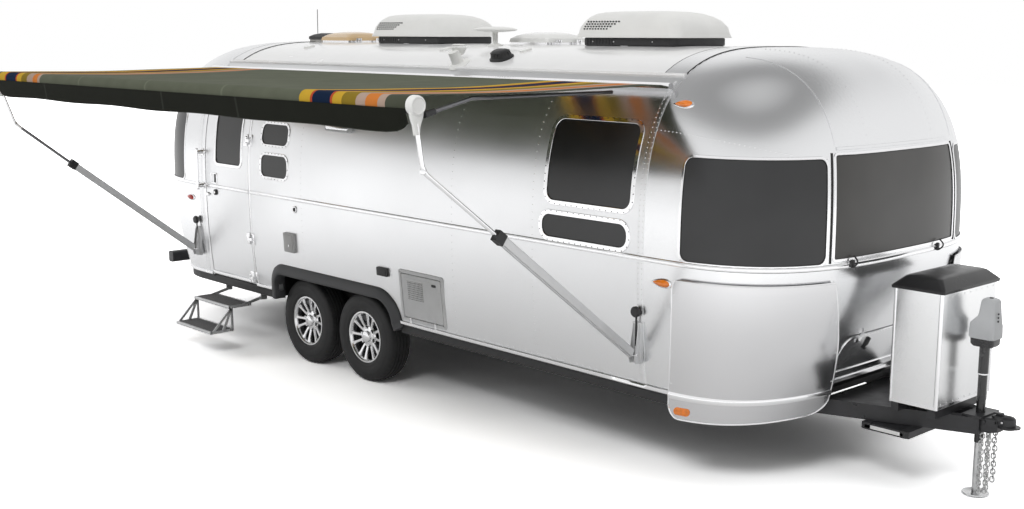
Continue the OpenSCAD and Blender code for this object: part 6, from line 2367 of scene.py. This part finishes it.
def floor_material():
    """Plain to the light it bounces, white to what is seen straight on or mirrored."""
    mat, nodes, bsdf = new_material("Studio_Floor")
    if nodes is None:
        return mat
    out = nodes["Material Output"]
    path = nodes.new("ShaderNodeLightPath")
    bsdf.inputs["Base Color"].default_value = (0.8, 0.8, 0.8, 1)
    bsdf.inputs["Roughness"].default_value = 0.9
    coord = nodes.new("ShaderNodeTexCoord")
    reach = nodes.new("ShaderNodeVectorMath")
    reach.operation = "DISTANCE"
    reach.inputs[1].default_value = (bx(1.0), Y_MID, 0)
    wire(mat, coord.outputs["Object"], reach.inputs[0])

    def lit(color, near, far):
        paint = nodes.new("ShaderNodeBsdfDiffuse")
        paint.inputs["Color"].default_value = (color, color, color, 1)
        fall = nodes.new("ShaderNodeMapRange")
        fall.inputs["From Min"].default_value = 5.0
        fall.inputs["From Max"].default_value = 12.0
        fall.inputs["To Min"].default_value = near
        fall.inputs["To Max"].default_value = far
        wire(mat, reach.outputs["Value"], fall.inputs["Value"])
        glow = nodes.new("ShaderNodeEmission")
        wire(mat, fall.outputs["Result"], glow.inputs["Strength"])
        both = nodes.new("ShaderNodeAddShader")
        wire(mat, paint.outputs[0], both.inputs[0])
        wire(mat, glow.outputs[0], both.inputs[1])
        return both.outputs[0]

    def choose(flag, other, chosen):
        mix = nodes.new("ShaderNodeMixShader")
        wire(mat, flag, mix.inputs["Fac"])
        wire(mat, other, mix.inputs[1])
        wire(mat, chosen, mix.inputs[2])
        return mix.outputs[0]

    clear = maths(mat, "MAXIMUM", path.outputs["Is Glossy Ray"],
                  path.outputs["Is Transmission Ray"])
    mirrored = choose(clear, bsdf.outputs[0], lit(0.86, 0.06, 0.8))
    wire(mat, choose(path.outputs["Is Camera Ray"], mirrored, lit(2.1, 0.0, 1.0)),
         out.inputs["Surface"])
    return mat


def area_light(name, spot, aim, w, h, power):
    lamp = bpy.data.lights.new(name, "AREA")
    lamp.shape = "RECTANGLE"
    lamp.size, lamp.size_y, lamp.energy = w, h, power
    obj = bpy.data.objects.new(name, lamp)
    bpy.context.scene.collection.objects.link(obj)
    obj.location = spot
    obj.rotation_euler = (Vector(aim) - Vector(spot)).to_track_quat("-Z", "Y").to_euler()
    obj.visible_glossy = False


class CARAVAN_OT_stage(bpy.types.Operator):
    """Lay the floor and set the studio light, the world and the camera"""
    bl_idname = "caravan.stage"
    bl_label = "Stage"

    def execute(self, context):
        scene = context.scene
        bm = bmesh.new()
        bmesh.ops.create_grid(bm, x_segments=1, y_segments=1, size=60.0)
        floor = add("Floor", bm, floor_material(), body=None, smooth=False, normals=False)
        stage_world()
        area_light("Key_Light", (6.0, -9.0, 9.5), (0.5, 0, 0.8), 5.0, 3.0, 560.0)
        area_light("Fill_Light", (-8.0, -6.0, 6.0), (-1, 0, 1.0), 6.0, 4.0, 150.0)
        area_light("Back_Light", (2.0, 8.0, 7.0), (0, 0, 1.0), 8.0, 4.0, 180.0)
        cam = bpy.data.cameras.new("Camera")
        cam.sensor_width = 36.0
        cam.lens = 45.2
        cam.clip_end = 200.0
        obj = bpy.data.objects.new("Camera", cam)
        scene.collection.objects.link(obj)
        turn, dip, roll = math.radians(46.9638), math.radians(9.7365), math.radians(0.168)
        fwd = Vector((-math.sin(turn) * math.cos(dip), math.cos(turn) * math.cos(dip),
                      -math.sin(dip)))
        right = Vector((math.cos(turn), math.sin(turn), 0))
        up = right.cross(fwd)
        side = right * math.cos(roll) + up * math.sin(roll)
        top = up * math.cos(roll) - right * math.sin(roll)
        rot = Matrix((side, top, -fwd)).transposed()
        obj.matrix_world = Matrix.Translation((bx(8.4636), Y_MID - 7.1115, 2.7345)) \
            @ rot.to_4x4()
        scene.camera = obj
        scene.view_settings.view_transform = "Standard"
        return {"FINISHED"}


# ---- the add-on -------------------------------------------------------------


class CaravanColours(bpy.types.PropertyGroup):
    """Colours of the caravan's main surfaces"""
    skin: bpy.props.FloatVectorProperty(
        name="Aluminium", description="Colour of the bare aluminium skin", subtype="COLOR",
        size=3, min=0, max=1, default=(0.80, 0.805, 0.815))
    roof: bpy.props.FloatVectorProperty(
        name="Roof", description="Colour of the painted roof", subtype="COLOR",
        size=3, min=0, max=1, default=(0.82, 0.82, 0.82))
    fender: bpy.props.FloatVectorProperty(
        name="Fenders", description="Colour of the wheel arch trim", subtype="COLOR",
        size=3, min=0, max=1, default=(0.042, 0.043, 0.046))
    cloth: bpy.props.FloatVectorProperty(
        name="Awning", description="Ground colour of the awning cloth", subtype="COLOR",
        size=3, min=0, max=1, default=(0.115, 0.125, 0.09))
    lamp: bpy.props.FloatVectorProperty(
        name="Lamps", description="Colour of the amber marker lamps", subtype="COLOR",
        size=3, min=0, max=1, default=(0.85, 0.22, 0.015))


class CaravanSizes(bpy.types.PropertyGroup):
    """Sizes of the caravan's details"""
    rivet: bpy.props.FloatProperty(
        name="Rivet Head", description="Width of a skin rivet's head", subtype="DISTANCE",
        unit="LENGTH", default=0.009, min=0.003, max=0.02)
    groove: bpy.props.FloatProperty(
        name="Tread Depth", description="Depth of the tyre tread grooves", subtype="DISTANCE",
        unit="LENGTH", default=0.007, min=0.002, max=0.012)
    sag: bpy.props.FloatProperty(
        name="Awning Sag", description="How far the awning cloth sags between its rafters",
        subtype="DISTANCE", unit="LENGTH", default=0.02, min=0.0, max=0.06)
    link: bpy.props.FloatProperty(
        name="Chain Link", description="Length of one safety chain link", subtype="DISTANCE",
        unit="LENGTH", default=0.036, min=0.02, max=0.06)


STEPS = (
    CARAVAN_OT_stage, CARAVAN_OT_shell, CARAVAN_OT_windows, CARAVAN_OT_seams, CARAVAN_OT_trims,
    CARAVAN_OT_fenders, CARAVAN_OT_guards, CARAVAN_OT_lamps, CARAVAN_OT_door, CARAVAN_OT_flaps,
    CARAVAN_OT_wheels, CARAVAN_OT_tongue, CARAVAN_OT_roof, CARAVAN_OT_awning, CARAVAN_OT_steps,
)


class CARAVAN_PT_panel(bpy.types.Panel):
    """The caravan's sizes, colours and pieces"""
    bl_idname = "CARAVAN_PT_panel"
    bl_label = "Travel Caravan"
    bl_space_type = "VIEW_3D"
    bl_region_type = "UI"
    bl_category = "Caravan"

    def draw(self, context):
        for group in (context.scene.caravan_colours, context.scene.caravan_sizes):
            column = self.layout.column(align=True)
            for key in group.__class__.__annotations__:
                column.prop(group, key)
        for step in STEPS:
            self.layout.operator(step.bl_idname)


CLASSES = (CaravanColours, CaravanSizes, *STEPS, CARAVAN_PT_panel)


def register():
    for cls in CLASSES:
        bpy.utils.register_class(cls)
    bpy.types.Scene.caravan_colours = bpy.props.PointerProperty(type=CaravanColours)
    bpy.types.Scene.caravan_sizes = bpy.props.PointerProperty(type=CaravanSizes)


def unregister():
    del bpy.types.Scene.caravan_sizes
    del bpy.types.Scene.caravan_colours
    for cls in reversed(CLASSES):
        bpy.utils.unregister_class(cls)


def main():
    register()
    for step in STEPS:
        getattr(bpy.ops.caravan, step.bl_idname.split(".")[1])()


if __name__ == "__main__":
    main()
